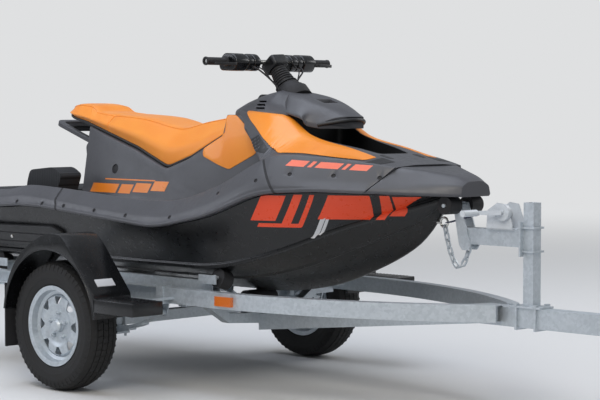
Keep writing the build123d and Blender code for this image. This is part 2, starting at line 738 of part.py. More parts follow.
rail_bottom = rail_top - rail_height
hanger_parts = []
for x in (-eye_x, eye_x):
    hanger = rod((x, -rail_y - 30, eye_z), (x, -rail_y + 30, eye_z), 8)
    for y in (-rail_y - 29, -rail_y + 24):
        hanger += slab_y([(x - 34, rail_bottom), (x + 34, rail_bottom), (x + 17, eye_z - 18),
                          (x - 17, eye_z - 18)],
                         y, y + 5, 3)
    hanger_parts.append(hanger)
clamp_plate_z = spring_top - 3 * (leaf_thickness + fit_gap) - 0.5
axle_clamp = block(-52, 52, -rail_y - 44, -rail_y + 44, clamp_plate_z - 10, clamp_plate_z)
for x in (-34, 34):
    for y in (-rail_y - 33, -rail_y + 33):
        axle_clamp += rod((x, y, clamp_plate_z - 24), (x, y, axle_z + axle_side / 2 + 8), 6)
    axle_clamp += block(x - 6, x + 6, -rail_y - 39, -rail_y + 39, axle_z + axle_side / 2 + 2,
                        axle_z + axle_side / 2 + 12)
hangers = hanger_parts + [axle_clamp]

# Side rails: open channel aft, bent box forward to the drawbar
y_out = -rail_y - rail_width / 2
y_in = -rail_y + rail_width / 2
channel = block(rail_rear_x, rail_joint_x, y_out, y_in, rail_bottom, rail_top)
channel -= block(rail_rear_x - 1, rail_joint_x + 1, y_out - 1, y_in - rail_wall, rail_bottom + rail_wall,
                 rail_top - rail_wall)
bend_centre = (rail_bend_x, -rail_y + rail_bend_radius)


def bent_bar(inset, z0, z1):
    """The forward rail: a straight run, then a bend inward to the drawbar."""
    straight = block(rail_joint_x, rail_bend_x, y_out + inset, y_in - inset, z0, z1)
    ring = Pos(bend_centre[0], bend_centre[1], z0) * extrude(
        Circle(rail_bend_radius + rail_width / 2 - inset)
        - Circle(rail_bend_radius - rail_width / 2 + inset), z1 - z0)
    sector = block(rail_bend_x, 1905, -600, -drawbar_width / 2, z0 - 1, z1 + 1)
    return straight + (ring & sector)


bent = bent_bar(0, rail_bottom, rail_top) - bent_bar(rail_wall, rail_bottom + rail_wall, rail_top - rail_wall)
joint_plate = block(rail_joint_x - 22, rail_joint_x + 22, y_out - 6, y_out, rail_bottom, rail_top + 6)
joint_plate += block(rail_joint_x - 22, rail_joint_x + 22, y_out - 6, y_in, rail_top, rail_top + 6)
joint_plate += block(rail_joint_x + 4, rail_joint_x + 22, y_out - 6, y_in, rail_bottom - 6, rail_bottom)

# Drawbar, centre beam and cross members
drawbar_bottom = drawbar_top - drawbar_height
half_bar = drawbar_width / 2
drawbar = block(drawbar_rear_x, drawbar_front_x, -half_bar, half_bar, drawbar_bottom, drawbar_top)
drawbar -= block(drawbar_rear_x + 4, drawbar_front_x + 1, -half_bar + 4, half_bar - 4, drawbar_bottom + 4,
                 drawbar_top - 4)

member_x = [-450, 440]
member_half = 25
member_height = 45
skid_y = 400
skid_width = 50
skid_height = 75
member_flat_z = 429.7 - member_height
member_low_z = 273.5
tail_member_x = rail_rear_x + 25


def member(x):
    """A dropped cross member between the rails, under the keel."""
    upper = [(y_in, member_flat_z + member_height), (-360, member_flat_z + member_height),
             (-210, member_low_z + member_height + 16), (0, member_low_z + member_height)]
    lower = [(y, z - member_height) for y, z in upper]
    points = upper + [(-y, z) for y, z in reversed(upper[:-1])] + [(-y, z) for y,
                                                                   z in lower[:-1]] + lower[::-1]
    return slab_x(points, x - member_half, x + member_half)


cross_members = [member(x) for x in member_x]
cross_members.append(block(tail_member_x - 25, tail_member_x + 25, y_in, -y_in, member_flat_z,
                           member_flat_z + member_height))
beam_rear_x = member_x[1] + member_half
beam_points = [(beam_rear_x, member_low_z + member_height), (drawbar_rear_x, drawbar_top),
               (drawbar_rear_x, drawbar_bottom), (beam_rear_x, member_low_z + member_height - 75)]
centre_beam = slab_y(beam_points, -25, 25)
inner_points = [(beam_rear_x + 4, member_low_z + member_height - 4), (drawbar_rear_x - 4, drawbar_top - 5),
                (drawbar_rear_x - 4, drawbar_bottom + 5),
                (beam_rear_x + 4, member_low_z + member_height - 70)]
centre_beam -= slab_y(inner_points, -21, 21)

# Skid beams: open-ended boxes along both sides, on the cross members
skid_rear_x = -940
skid_front_x = 585
skid_bottom = member_flat_z + member_height
skid = block(skid_rear_x, skid_front_x, -skid_y - skid_width / 2, -skid_y + skid_width / 2, skid_bottom,
             skid_bottom + skid_height)
skid -= block(skid_rear_x - 1, skid_front_x + 1, -skid_y - skid_width / 2 + 4, -skid_y + skid_width / 2 - 4,
              skid_bottom + 4, skid_bottom + skid_height - 4)


def hull_floor(x, y):
    """Height of the hull's bottom at x, a distance y off the keel."""
    keel, chine_y, chine_z = (at(hull_stations, x, column) for column in (1, 2, 3))
    return keel + (chine_z - keel) * y / chine_y


def hull_slope(x):
    keel, chine_y, chine_z = (at(hull_stations, x, column) for column in (1, 2, 3))
    return atan2(chine_z - keel, chine_y)


roller_radius = 42
roller_half = 30
fork_half = 50
wobble_x = [skid_rear_x - 48, skid_front_x + 52]
skid_top = skid_bottom + skid_height
rollers = []
roller_arms = []
for x in wobble_x:
    tilt = hull_slope(x)
    touch = Vector(x, -skid_y, hull_floor(x, skid_y))
    centre = touch + Vector(0, -sin(tilt), -cos(tilt)) * (roller_radius + 1)
    line = Vector(0, -cos(tilt), sin(tilt))
    rollers.append(tube(centre - line * roller_half, centre + line * roller_half, roller_radius, 8 + fit_gap))
    end_x = skid_rear_x if x < 0 else skid_front_x
    toward = -1 if x < 0 else 1
    arm = rod(centre - line * fork_half, centre + line * fork_half, 8)
    arm += block(end_x - toward * 50, end_x - toward * 4, centre.Y - fork_half, centre.Y + fork_half,
                 skid_top, skid_top + 5)
    for y in (centre.Y - fork_half, centre.Y + fork_half - 5):
        arm += block(end_x - toward * 50, x + toward * 12, y, y + 5, centre.Z - 20, centre.Z + 20)
    roller_arms.append(arm)

# Keel rollers on brackets over the dropped members
keel_roller_radius = 45
keel_roller_half = 85
keel_rollers = []
keel_brackets = []
for x in member_x:
    z = keel_z - keel_roller_radius - fit_gap
    keel_rollers.append(tube((x, -keel_roller_half, z), (x, keel_roller_half, z), keel_roller_radius,
                             8 + fit_gap))
    bracket = rod((x, -keel_roller_half - 12, z), (x, keel_roller_half + 12, z), 8)
    for y in (-keel_roller_half - 9, keel_roller_half + 4):
        bracket += slab_y([(x - 24, 322), (x + 24, 322), (x + 14, z + 14), (x - 14, z + 14)], y, y + 5, 4)
    bracket += block(x - 24, x + 24, -keel_roller_half - 9, keel_roller_half + 9, 318.5, 328)
    bracket -= member(x)
    keel_brackets.append(bracket)

# Mudguards: folded shells with a skirt, a step and a rubber flap
guard_inner = -698
guard_outer = -905
guard_skin = 4
arch_x = 20
arch_z = 316
arch_radius = 324
guard_bottom = 352
guard_rear_x = -312
guard_line = [(guard_rear_x, guard_bottom), (-292, 455), (-236, 560), (-150, 640), (0, 712), (110, 712),
              (160, 670),
              (352, 455), (352, 383)]


def offset_line(points, inset):
    """The guard's side outline moved in toward the wheel."""
    moved = []
    for x, z in points:
        length = hypot(x, z - axle_z)
        moved.append((x * (1 - inset / length), axle_z + (z - axle_z) * (1 - inset / length)))
    return moved


guard_floor = [(352, 300), (guard_rear_x, 300)]
solid_guard = slab_y(guard_line + guard_floor, guard_inner, guard_outer)
hollow_guard = slab_y(offset_line(guard_line, guard_skin + 1) + [(346, 290), (guard_rear_x + 6, 290)],
                      guard_inner + 5, guard_outer + guard_skin)
arch = rod((arch_x, guard_inner + 5, arch_z), (arch_x, guard_outer - 5, arch_z), arch_radius)
guard = solid_guard - hollow_guard - arch - block(-400, 400, -1000, -600, 100, guard_bottom)
step_inner = -735
step_bottom = 383
step_top = 441
step = block(340, 610, guard_outer, step_inner, step_bottom, step_top)
step -= block(300, 610 - guard_skin, guard_outer + guard_skin, step_inner - guard_skin, 300,
              step_top - guard_skin)
guard += step - arch
stay_thick = 6
front_stay = block(400, 440, step_inner, y_out, 421, 421 + stay_thick)
front_stay += block(400, 440, step_inner, step_inner + 4, 395, 438)
stay_z = rail_top
guard_at_stay = guard_rear_x + 20 + (stay_z - 455) * 56 / 105
rear_stay = block(-345, guard_at_stay - fit_gap, guard_outer + 8, y_in, stay_z, stay_z + stay_thick)
stays = [front_stay, rear_stay]
flap_x = -322
flap = block(flap_x, flap_x + 8, -890, -715, 175, stay_z)

# Winch post on the drawbar, with its arm, bow stop, winch and strap
half_post = post_side / 2
post = block(post_x - half_post, post_x + half_post, -half_post, half_post, drawbar_top + 8, post_top)
post -= block(post_x - half_post + 4, post_x + half_post - 4, -half_post + 4, half_post - 4,
              drawbar_top + 12, post_top + 1)
post_foot = block(post_x - 75, post_x + 75, -45, 45, drawbar_top, drawbar_top + 8)
post += post_foot
drawbar_clamps = None
for x in (post_x - 48, post_x + 48):
    hoop = block(x - 5, x + 5, -half_bar - 10, half_bar + 10, drawbar_bottom - 10, drawbar_top + 8)
    hoop -= block(x - 6, x + 6, -half_bar, half_bar, drawbar_bottom, drawbar_top + 20)
    drawbar_clamps = hoop if drawbar_clamps is None else drawbar_clamps + hoop
    hoop_nuts = block(x - 8, x + 8, -half_bar - 14, half_bar + 14, drawbar_top + 8, drawbar_top + 16)
    drawbar_clamps += hoop_nuts - block(x - 9, x + 9, -half_bar + 6, half_bar - 6, 400, 500)
drawbar_clamps -= post

arm_low = 708
arm_high = 776
arm_rear_x = 1668
plate_x = post_x - half_post - 8
arm = block(arm_rear_x, plate_x, -half_post, half_post, arm_low, arm_high)
arm -= block(arm_rear_x - 1, plate_x + 1, -half_post + 4, half_post - 4, arm_low + 4, arm_high - 4)
arm += block(plate_x, plate_x + 8, -46, 46, 672, 812)
for z in (693, 789):
    hoop = block(plate_x - 8, post_x + half_post + 9, -half_post - 9, half_post + 9, z - 4, z + 4)
    arm += hoop - block(plate_x - 20, post_x + half_post, -half_post, half_post, z - 10, z + 10)

bow_roller_x = 1655
bow_roller_radius = 37
bow_roller_z = at(sheer_line, bow_roller_x) - bow_roller_radius - fit_gap
stop_gap = 34
bow_roller = tube((bow_roller_x, -106, bow_roller_z), (bow_roller_x, -stop_gap, bow_roller_z),
                  bow_roller_radius, 8 + fit_gap)
chain_bar_x = arm_rear_x + 36
chain_bar_z = arm_low - 14
stop_plate = slab_y([(arm_rear_x + 4, arm_low - 6), (arm_rear_x + 20, arm_low - 26),
                     (arm_rear_x + 52, arm_low - 26),
                     (arm_rear_x + 66, arm_low - 6), (bow_roller_x + 18, bow_roller_z + 12),
                     (bow_roller_x - 18, bow_roller_z + 12)], -half_post - 6, -half_post, 6)
bow_stop = rod((bow_roller_x, -114, bow_roller_z), (bow_roller_x, 114, bow_roller_z),
               8) + stop_plate + port(stop_plate)
bow_stop += rod((chain_bar_x, -half_post, chain_bar_z), (chain_bar_x, half_post, chain_bar_z), 4)

winch_x = 1888
winch_z = 836
winch_half = 40
drum_radius = 24
winch_side = slab_y([(winch_x - 62, arm_high + 4), (winch_x + 72, arm_high + 4),
                     (winch_x + 72, arm_high + 24),
                     (winch_x + 40, winch_z + 44), (winch_x - 6, winch_z + 50), (winch_x - 56, winch_z + 18)],
                    -winch_half - 3, -winch_half, 6)
winch_base = block(winch_x - 62, winch_x + 72, -winch_half, winch_half, arm_high, arm_high + 4)
winch_frame = winch_base + winch_side + port(winch_side)
winch_drum = rod((winch_x - 16, -winch_half + 2, winch_z), (winch_x - 16, winch_half - 2, winch_z),
                 drum_radius)
winch_drum += rod((winch_x - 16, -winch_half - 8, winch_z), (winch_x - 16, winch_half + 8, winch_z), 8)
winch_frame -= rod((winch_x - 16, -60, winch_z), (winch_x - 16, 60, winch_z), 8 + fit_gap)
gear_cover = rod((winch_x + 34, -winch_half - 3, winch_z + 12),
                 (winch_x + 34, -winch_half - 22, winch_z + 12), 34)
crank = rod((winch_x + 34, -winch_half - 22, winch_z + 12), (winch_x + 34, -winch_half - 34, winch_z + 12), 9)
crank += slab_y([(winch_x + 44, winch_z + 2), (winch_x + 44, winch_z + 22), (winch_x - 96, winch_z + 14),
                 (winch_x - 96, winch_z - 2)], -winch_half - 40, -winch_half - 34, 7)
crank_grip = rod((winch_x - 86, -winch_half - 40.3, winch_z + 6),
                 (winch_x - 86, -winch_half - 128, winch_z + 6), 14)

strap_half = 19
strap_start = (winch_x - 16 - 8, winch_z + drum_radius + 1)
strap_end = (bow_eye_x + 20, bow_eye_z + 1)
strap = slab_y([strap_start, strap_end, (strap_end[0], strap_end[1] - 3),
                (strap_start[0], strap_start[1] - 3)],
               -strap_half, strap_half)
strap -= winch_drum + bow_eye + bow_stop

# Safety chain from the bow eye to the bar under the arm, hanging slack between them
link_length = 44
link_width = 24
link_wire = 6.4
link_count = 10
link_pitch = link_length - 2 * link_wire - 2 * fit_gap
link_reach = (link_length - link_width) / 2 - fit_gap


def link(centre, heading, turned):
    """A straight-sided chain link along a heading in degrees, upright or turned about its length."""
    outline = SlotOverall(link_length, link_width) - SlotOverall(link_length - 2 * link_wire,
                                                                 link_width - 2 * link_wire)
    flat = extrude(outline, link_wire / 2, both=True)
    return Pos(*centre) * Rot(0, -heading, 0) * Rot(0 if turned else 90, 0, 0) * flat


def slack_curve(start, end, sag):
    """Short steps along a curve that hangs from start to end: x, z and the length so far."""
    steps = 400
    curve = [(start[0], start[1], 0)]
    for i in range(1, steps + 1):
        share = i / steps
        x = start[0] + share * (end[0] - start[0])
        z = start[1] + share * (end[1] - start[1]) - 4 * share * (1 - share) * sag
        curve.append((x, z, curve[-1][2] + hypot(x - curve[-1][0], z - curve[-1][1])))
    return curve


eye_hang = radians(75)
chain_start = (bow_eye_x + bow_eye_radius * cos(eye_hang), bow_eye_z - bow_eye_radius * sin(eye_hang))
chain_end = (chain_bar_x, chain_bar_z)
chain_length = 2 * link_reach + (link_count - 1) * link_pitch
sag_low = 0
sag_high = 400
for _ in range(30):
    chain_sag = (sag_low + sag_high) / 2
    if slack_curve(chain_start, chain_end, chain_sag)[-1][2] < chain_length:
        sag_low = chain_sag
    else:
        sag_high = chain_sag
chain_links = []
chain_steps = slack_curve(chain_start, chain_end, chain_sag)
for (x0, z0, done), (x1, z1, _) in zip(chain_steps, chain_steps[1:]):
    if len(chain_links) < link_count and done >= link_reach + link_pitch * len(chain_links):
        chain_links.append(link((x0, 0, z0), degrees(atan2(z1 - z0, x1 - x0)), len(chain_links) % 2 == 0))

# Coupling: a pressed body on the drawbar, with a socket for the tow ball
ball_x = 2860
ball_z = 438
ball_radius = 25.4
socket_wall = 11
socket_depth = 16
coupling = Pos(ball_x, 0, ball_z) * Sphere(ball_radius + socket_wall)
coupling += rod((ball_x, 0, ball_z - socket_depth), (ball_x, 0, ball_z), ball_radius + socket_wall)
coupling += slab_z([(drawbar_front_x - 120, -40), (drawbar_front_x + 30, -40), (ball_x - 20, -30),
                    (ball_x - 20, 30),
                    (drawbar_front_x + 30, 40), (drawbar_front_x - 120, 40)], drawbar_top, drawbar_top + 8)
coupling += slab_z([(drawbar_front_x, -34), (ball_x - 10, -30), (ball_x - 10, 30), (drawbar_front_x, 34)],
                   ball_z - socket_depth, drawbar_top)
coupling -= Pos(ball_x, 0, ball_z) * Sphere(ball_radius) + rod((ball_x, 0, ball_z - 60), (ball_x, 0, ball_z),
                                                               ball_radius)
coupling_handle = slab_y([(ball_x - 66, drawbar_top + 8), (ball_x - 66, drawbar_top + 30),
                          (ball_x - 190, drawbar_top + 62),
                          (ball_x - 196, drawbar_top + 50), (ball_x - 100, drawbar_top + 8)], -12, 12, 4)

# Jockey wheel on the drawbar's port side: clamp, sliding leg, swivelling fork, wheel
leg_x = 2430
leg_radius = 24
leg_y = half_bar + 14 + leg_radius
leg_travel = 160
fork_top = 226
jockey_radius = 100
jockey_half = 24
jockey_trail = 22
clamp_body = block(leg_x - 38, leg_x + 38, half_bar, leg_y + leg_radius + 9, drawbar_bottom + 6,
                   drawbar_top - 6)
clamp_body -= rod((leg_x, leg_y, 300), (leg_x, leg_y, 600), leg_radius + fit_gap)
clamp_screw = rod((leg_x, leg_y + leg_radius + 9, 425), (leg_x, leg_y + leg_radius + 40, 425), 7)
clamp_screw += rod((leg_x - 46, leg_y + leg_radius + 40, 425), (leg_x + 46, leg_y + leg_radius + 40, 425), 6)
clamp_body += clamp_screw
leg = rod((leg_x, leg_y, fork_top), (leg_x, leg_y, 850), leg_radius)
leg -= rod((leg_x, leg_y, fork_top - 1), (leg_x, leg_y, fork_top + 40), 12 + fit_gap)
leg += rod((leg_x, leg_y, 850), (leg_x, leg_y, 878), 9)
leg += rod((leg_x, leg_y - 6, 872), (leg_x, leg_y + 108, 872), 7)
leg_grip = rod((leg_x, leg_y + 100, 872.5), (leg_x, leg_y + 100, 958), 13) - leg
fork = rod((leg_x, leg_y, fork_top - running_gap), (leg_x, leg_y, fork_top + 38), 12)
fork += block(leg_x - 26, leg_x + 40, leg_y - 36, leg_y + 36, fork_top - running_gap - 7,
              fork_top - running_gap)
fork_side = slab_y([(leg_x - 26, fork_top - running_gap), (leg_x + 40, fork_top - running_gap),
                    (leg_x + jockey_trail + 18, jockey_radius - 16),
                    (leg_x + jockey_trail - 18, jockey_radius - 16)],
                   leg_y - 36, leg_y - 31, 0)
fork += fork_side + fork_side.mirror(Plane((0, leg_y, 0), z_dir=(0, 1, 0)))
fork += rod((leg_x + jockey_trail, leg_y - 36, jockey_radius),
            (leg_x + jockey_trail, leg_y + 36, jockey_radius), 8)
jockey_wheel = rod((leg_x + jockey_trail, leg_y - jockey_half, jockey_radius),
                   (leg_x + jockey_trail, leg_y + jockey_half, jockey_radius), jockey_radius)
jockey_wheel = fillet(jockey_wheel.edges(), 14)
jockey_wheel -= rod((leg_x + jockey_trail, leg_y - 60, jockey_radius),
                    (leg_x + jockey_trail, leg_y + 60, jockey_radius), 8 + fit_gap)

# Lamps and the bare plate at the rear
lamp_rear_x = rail_rear_x - 44
lamp_bracket = block(rail_rear_x - 4, rail_rear_x, y_out - 40, y_in + 100, rail_bottom, rail_top + 20)
rear_lamp = block(lamp_rear_x, rail_rear_x - 4, y_out - 36, y_in + 96, rail_bottom + 6, rail_top + 16)
rear_lamp = fillet(rear_lamp.edges().filter_by(Axis.X), 8)
plate_board = block(rail_rear_x - 3, rail_rear_x, -186, 186, member_flat_z - 66, member_flat_z + 40)
side_lamp_x = 765
side_lamp_y = bend_centre[1] - ((rail_bend_radius + rail_width / 2) ** 2
                                - (side_lamp_x - rail_bend_x) ** 2) ** 0.5
side_lamp = block(side_lamp_x - 50, side_lamp_x + 50, side_lamp_y - 14, side_lamp_y + 10, rail_top - 57,
                  rail_top - 15)
side_lamp = side_lamp - bent_bar(-fit_gap, rail_bottom, rail_top)

wheel = wheel + hub
parts["tyre_right"] = tyre
parts["wheel_right"] = wheel
parts["tyre_left"] = port(tyre)
parts["wheel_left"] = port(wheel)
parts["axle"] = axle
parts["leaf_springs"] = Compound(children=[leaf for leaf in springs] + [port(leaf) for leaf in springs])
parts["spring_hangers"] = Compound(children=[h for h in hangers] + [port(h) for h in hangers])
parts["rails_rear"] = pair(channel)
parts["rail_front_right"] = bent
parts["rail_front_left"] = port(bent)
plates = [joint_plate, lamp_bracket] + stays
parts["chassis_plates"] = Compound(children=plates + [port(one) for one in plates] + [plate_board])
parts["drawbar"] = drawbar + centre_beam
parts["cross_members"] = Compound(children=cross_members)
parts["skid_beams"] = pair(skid)
parts["rollers"] = Compound(children=rollers + [port(r) for r in rollers] + keel_rollers
                            + [bow_roller, port(bow_roller)])
parts["roller_brackets"] = Compound(children=roller_arms + [port(r) for r in roller_arms] + keel_brackets)
parts["mudguard_right"] = guard
parts["mudguard_left"] = port(guard)
parts["mud_flaps"] = pair(flap)
parts["winch_post"] = post + drawbar_clamps
parts["winch_arm"] = arm + bow_stop
parts["winch"] = Compound(children=[winch_frame + gear_cover + crank + crank_grip, winch_drum])
parts["winch_strap"] = strap
parts["safety_chain"] = Compound(children=chain_links)
parts["coupling"] = coupling + coupling_handle
parts["jockey_clamp"] = clamp_body
parts["jockey_leg"] = leg + leg_grip
parts["jockey_fork"] = fork
parts["jockey_wheel"] = jockey_wheel
parts["rear_lamps"] = pair(rear_lamp)
parts["side_lamps"] = pair(side_lamp)

# Stand the whole on its own middle and write one file for each sub-part
outer = Compound(children=[one for shape in parts.values() for one in shape.solids()]).bounding_box()
shift = Pos(-(outer.min.X + outer.max.X) / 2, -(outer.min.Y + outer.max.Y) / 2, -outer.min.Z)
print("shift", shift.position, "nodes", len(parts))
for name, shape in parts.items():
    solids = [shift * one for one in shape.solids()]
    whole = solids[0] if len(solids) == 1 else Compound(children=solids)
    print(name, round(whole.volume / 1e6, 2), len(solids), whole.is_valid, whole.bounding_box())
    export_step(whole, f"parts/{name}.step")
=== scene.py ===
import json
from contextlib import contextmanager
from math import atan2, cos, pi, radians, sin

import bmesh
import bpy
from mathutils import Matrix, Vector
from mathutils.bvhtree import BVHTree


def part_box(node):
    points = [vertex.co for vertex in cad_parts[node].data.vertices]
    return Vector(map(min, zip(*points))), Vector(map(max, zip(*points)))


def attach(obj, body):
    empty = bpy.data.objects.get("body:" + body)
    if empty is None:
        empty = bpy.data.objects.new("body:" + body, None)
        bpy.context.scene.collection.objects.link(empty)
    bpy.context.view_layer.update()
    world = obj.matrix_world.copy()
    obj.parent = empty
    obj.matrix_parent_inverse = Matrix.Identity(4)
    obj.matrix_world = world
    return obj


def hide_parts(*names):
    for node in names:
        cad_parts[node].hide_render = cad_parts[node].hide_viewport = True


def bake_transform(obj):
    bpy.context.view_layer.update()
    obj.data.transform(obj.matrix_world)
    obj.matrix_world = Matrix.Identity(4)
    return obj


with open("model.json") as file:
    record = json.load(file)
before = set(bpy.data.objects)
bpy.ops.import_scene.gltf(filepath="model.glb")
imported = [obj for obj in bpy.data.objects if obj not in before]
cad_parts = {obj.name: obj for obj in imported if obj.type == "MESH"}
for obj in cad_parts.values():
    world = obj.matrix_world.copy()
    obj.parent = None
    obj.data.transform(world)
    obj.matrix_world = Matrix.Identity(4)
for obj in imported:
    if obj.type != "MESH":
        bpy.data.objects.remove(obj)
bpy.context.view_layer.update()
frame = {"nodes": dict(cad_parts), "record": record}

ROOT = "craft_and_trailer"

# Places are written in millimetres from the ground under the middle of the axle, x to the bow, y to port.
axle_low, axle_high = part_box("axle")
axle_x = (axle_low[0] + axle_high[0]) / 2


def place(x, y, z):
    """A point in metres in the frame, from millimetres about the axle."""
    return Vector((x / 1000 + axle_x, y / 1000, z / 1000))


# Camera, at the photograph's viewing angle for a frame of 600 by 400; its place is in metres in the frame
camera_place = Vector((5.6763, -5.793, 1.262))
camera_yaw = radians(44.82)
camera_pitch = radians(-2.861)
camera_lens = 108.15

camera_data = bpy.data.cameras.new("camera")
camera_data.lens = camera_lens
camera_data.sensor_width = 36
camera = bpy.data.objects.new("camera", camera_data)
camera.location = camera_place
camera.rotation_euler = (radians(90) + camera_pitch, 0, camera_yaw)
bpy.context.scene.collection.objects.link(camera)
bpy.context.scene.camera = camera


# Colours and materials

def colour(code):
    """An sRGB hex colour as linear red, green, blue and alpha."""
    channels = [int(code[i:i + 2], 16) / 255 for i in (1, 3, 5)]
    return tuple(c / 12.92 if c <= 0.04045 else ((c + 0.055) / 1.055) ** 2.4 for c in channels) + (1.0,)


def add(tree, kind, settings=(), links=()):
    """One node, with its settings by attribute or input name, and its inputs' links."""
    node = tree.nodes.new(kind)
    for key, value in dict(settings).items():
        if isinstance(key, str) and hasattr(node, key):
            setattr(node, key, value)
        else:
            node.inputs[key].default_value = value
    for key, source in dict(links).items():
        tree.links.new(source, node.inputs[key])
    return node


def per_metre(size_mm):
    """The scale at which one cell of a pattern is this many millimetres across."""
    return 1000 / size_mm


def start(name):
    """A new material with its tree, its Object coordinates and its shader, linked to the output."""
    material = bpy.data.materials.new(name)
    material.use_nodes = True
    tree = material.node_tree
    tree.nodes.clear()
    where = add(tree, "ShaderNodeTexCoord").outputs["Object"]
    shader = add(tree, "ShaderNodeBsdfPrincipled")
    add(tree, "ShaderNodeOutputMaterial", {}, {"Surface": shader.outputs[0]})
    return material, tree, where, shader


def grain(tree, height, depth_mm, edge_mm=0):
    """A bump normal from a height, over edges softened by a small radius."""
    links = {"Height": height}
    if edge_mm:
        softened = {"samples": 4, "Radius": edge_mm / 1000}
        links["Normal"] = add(tree, "ShaderNodeBevel", softened).outputs["Normal"]
    raised = {"Distance": depth_mm / 1000, "Strength": 1.0}
    return add(tree, "ShaderNodeBump", raised, links).outputs["Normal"]


def cast_grain(tree, where, size_mm, detail, depth_mm, edge_mm):
    """The bump of an even grain whose pits are about size_mm across, over softened edges."""
    pits = {"Scale": per_metre(size_mm), "Detail": detail, "Roughness": 0.55}
    height = add(tree, "ShaderNodeTexNoise", pits, {"Vector": where}).outputs["Fac"]
    return grain(tree, height, depth_mm, edge_mm)


def mottled(tree, where, base, tint, size_mm, detail, rough, low=0.3, high=0.7):
    """Blotches about size_mm across, and a colour that drifts with them between two shades."""
    clouds = {"Scale": per_metre(size_mm), "Detail": detail, "Roughness": rough}
    blotches = add(tree, "ShaderNodeTexNoise", clouds, {"Vector": where}).outputs["Fac"]
    middle = add(tree, "ShaderNodeMapRange", {"From Min": low, "From Max": high}, {"Value": blotches})
    shades = {"data_type": "RGBA", 6: colour(base), 7: colour(tint)}
    return blotches, add(tree, "ShaderNodeMix", shades, {"Factor": middle.outputs["Result"]}).outputs[2]


def dress(tree, shader, body, roughness, normal, settings=()):
    """The shader given its colour, roughness and bump, each a value or an output, and its other settings."""
    inputs = {"Base Color": body, "Roughness": roughness, "Normal": normal, **dict(settings)}
    for key, value in inputs.items():
        if isinstance(value, (int, float)):
            shader.inputs[key].default_value = value
        else:
            tree.links.new(value, shader.inputs[key])


def moulded(name, base, tint, roughness, grain_mm, grain_depth, edge, scuff_and_highlight=None, coat=0.0):
    """Injection-moulded plastic: one colour all through, paler corners that are partly scuffing and partly a
    painted highlight, and a fine cast-in grain.

    The grain is drawn coarser than the real one, so that it shows.
    """
    cloud_mm, speckle_mm, scuff_and_highlight_mm, plastic_ior = 160, 24, 2.5, 1.5
    material, tree, where, shader = start(name)
    body = mottled(tree, where, base, tint, cloud_mm, 4, 0.55)[1]
    if scuff_and_highlight:
        # Corners are where a softened normal turns away from the plain one
        soft = add(tree, "ShaderNodeBevel", {"samples": 4, "Radius": scuff_and_highlight_mm / 1000}).outputs["Normal"]
        plain = add(tree, "ShaderNodeNewGeometry").outputs["Normal"]
        turn = add(tree, "ShaderNodeVectorMath", {"operation": "DOT_PRODUCT"}, {0: soft, 1: plain})
        rubbed_and_lit = {"From Min": 0.75, "From Max": 0.98, "To Min": 0.55, "To Max": 0}
        worn_and_lit = add(tree, "ShaderNodeMapRange", rubbed_and_lit, {"Value": turn.outputs["Value"]}).outputs["Result"]
        # The paler corners are partly scuffed plastic and partly a painted highlight where the edges catch
        # the light
        pale = {"data_type": "RGBA", 7: colour(scuff_and_highlight)}
        body = add(tree, "ShaderNodeMix", pale, {"Factor": worn_and_lit, 6: body}).outputs[2]
    speckled = {"Scale": per_metre(speckle_mm), "Detail": 5, "Roughness": 0.65}
    speckle = add(tree, "ShaderNodeTexNoise", speckled, {"Vector": where}).outputs["Fac"]
    dulled = {"From Min": 0.3, "From Max": 0.7, "To Min": roughness - 0.06, "To Max": roughness + 0.08}
    dull = add(tree, "ShaderNodeMapRange", dulled, {"Value": speckle}).outputs["Result"]
    dress(tree, shader, body, dull, cast_grain(tree, where, grain_mm, 2, grain_depth, edge),
          {"IOR": plastic_ior, "Coat Weight": coat, "Coat Roughness": 0.08})
    return material


def metal(name, base, tint, roughness, patch_mm, grain_mm=1.2, grain_depth=0.03):
    """A cast, rolled or polished metal with faint patches and its own grain."""
    edge_mm = 0.8
    material, tree, where, shader = start(name)
    patches, body = mottled(tree, where, base, tint, patch_mm, 4, 0.6)
    dulled = {"From Min": 0.3, "From Max": 0.7, "To Min": roughness - 0.05, "To Max": roughness + 0.09}
    dull = add(tree, "ShaderNodeMapRange", dulled, {"Value": patches}).outputs["Result"]
    dress(tree, shader, body, dull, cast_grain(tree, where, grain_mm, 2, grain_depth, edge_mm),
          {"Metallic": 1.0})
    return material


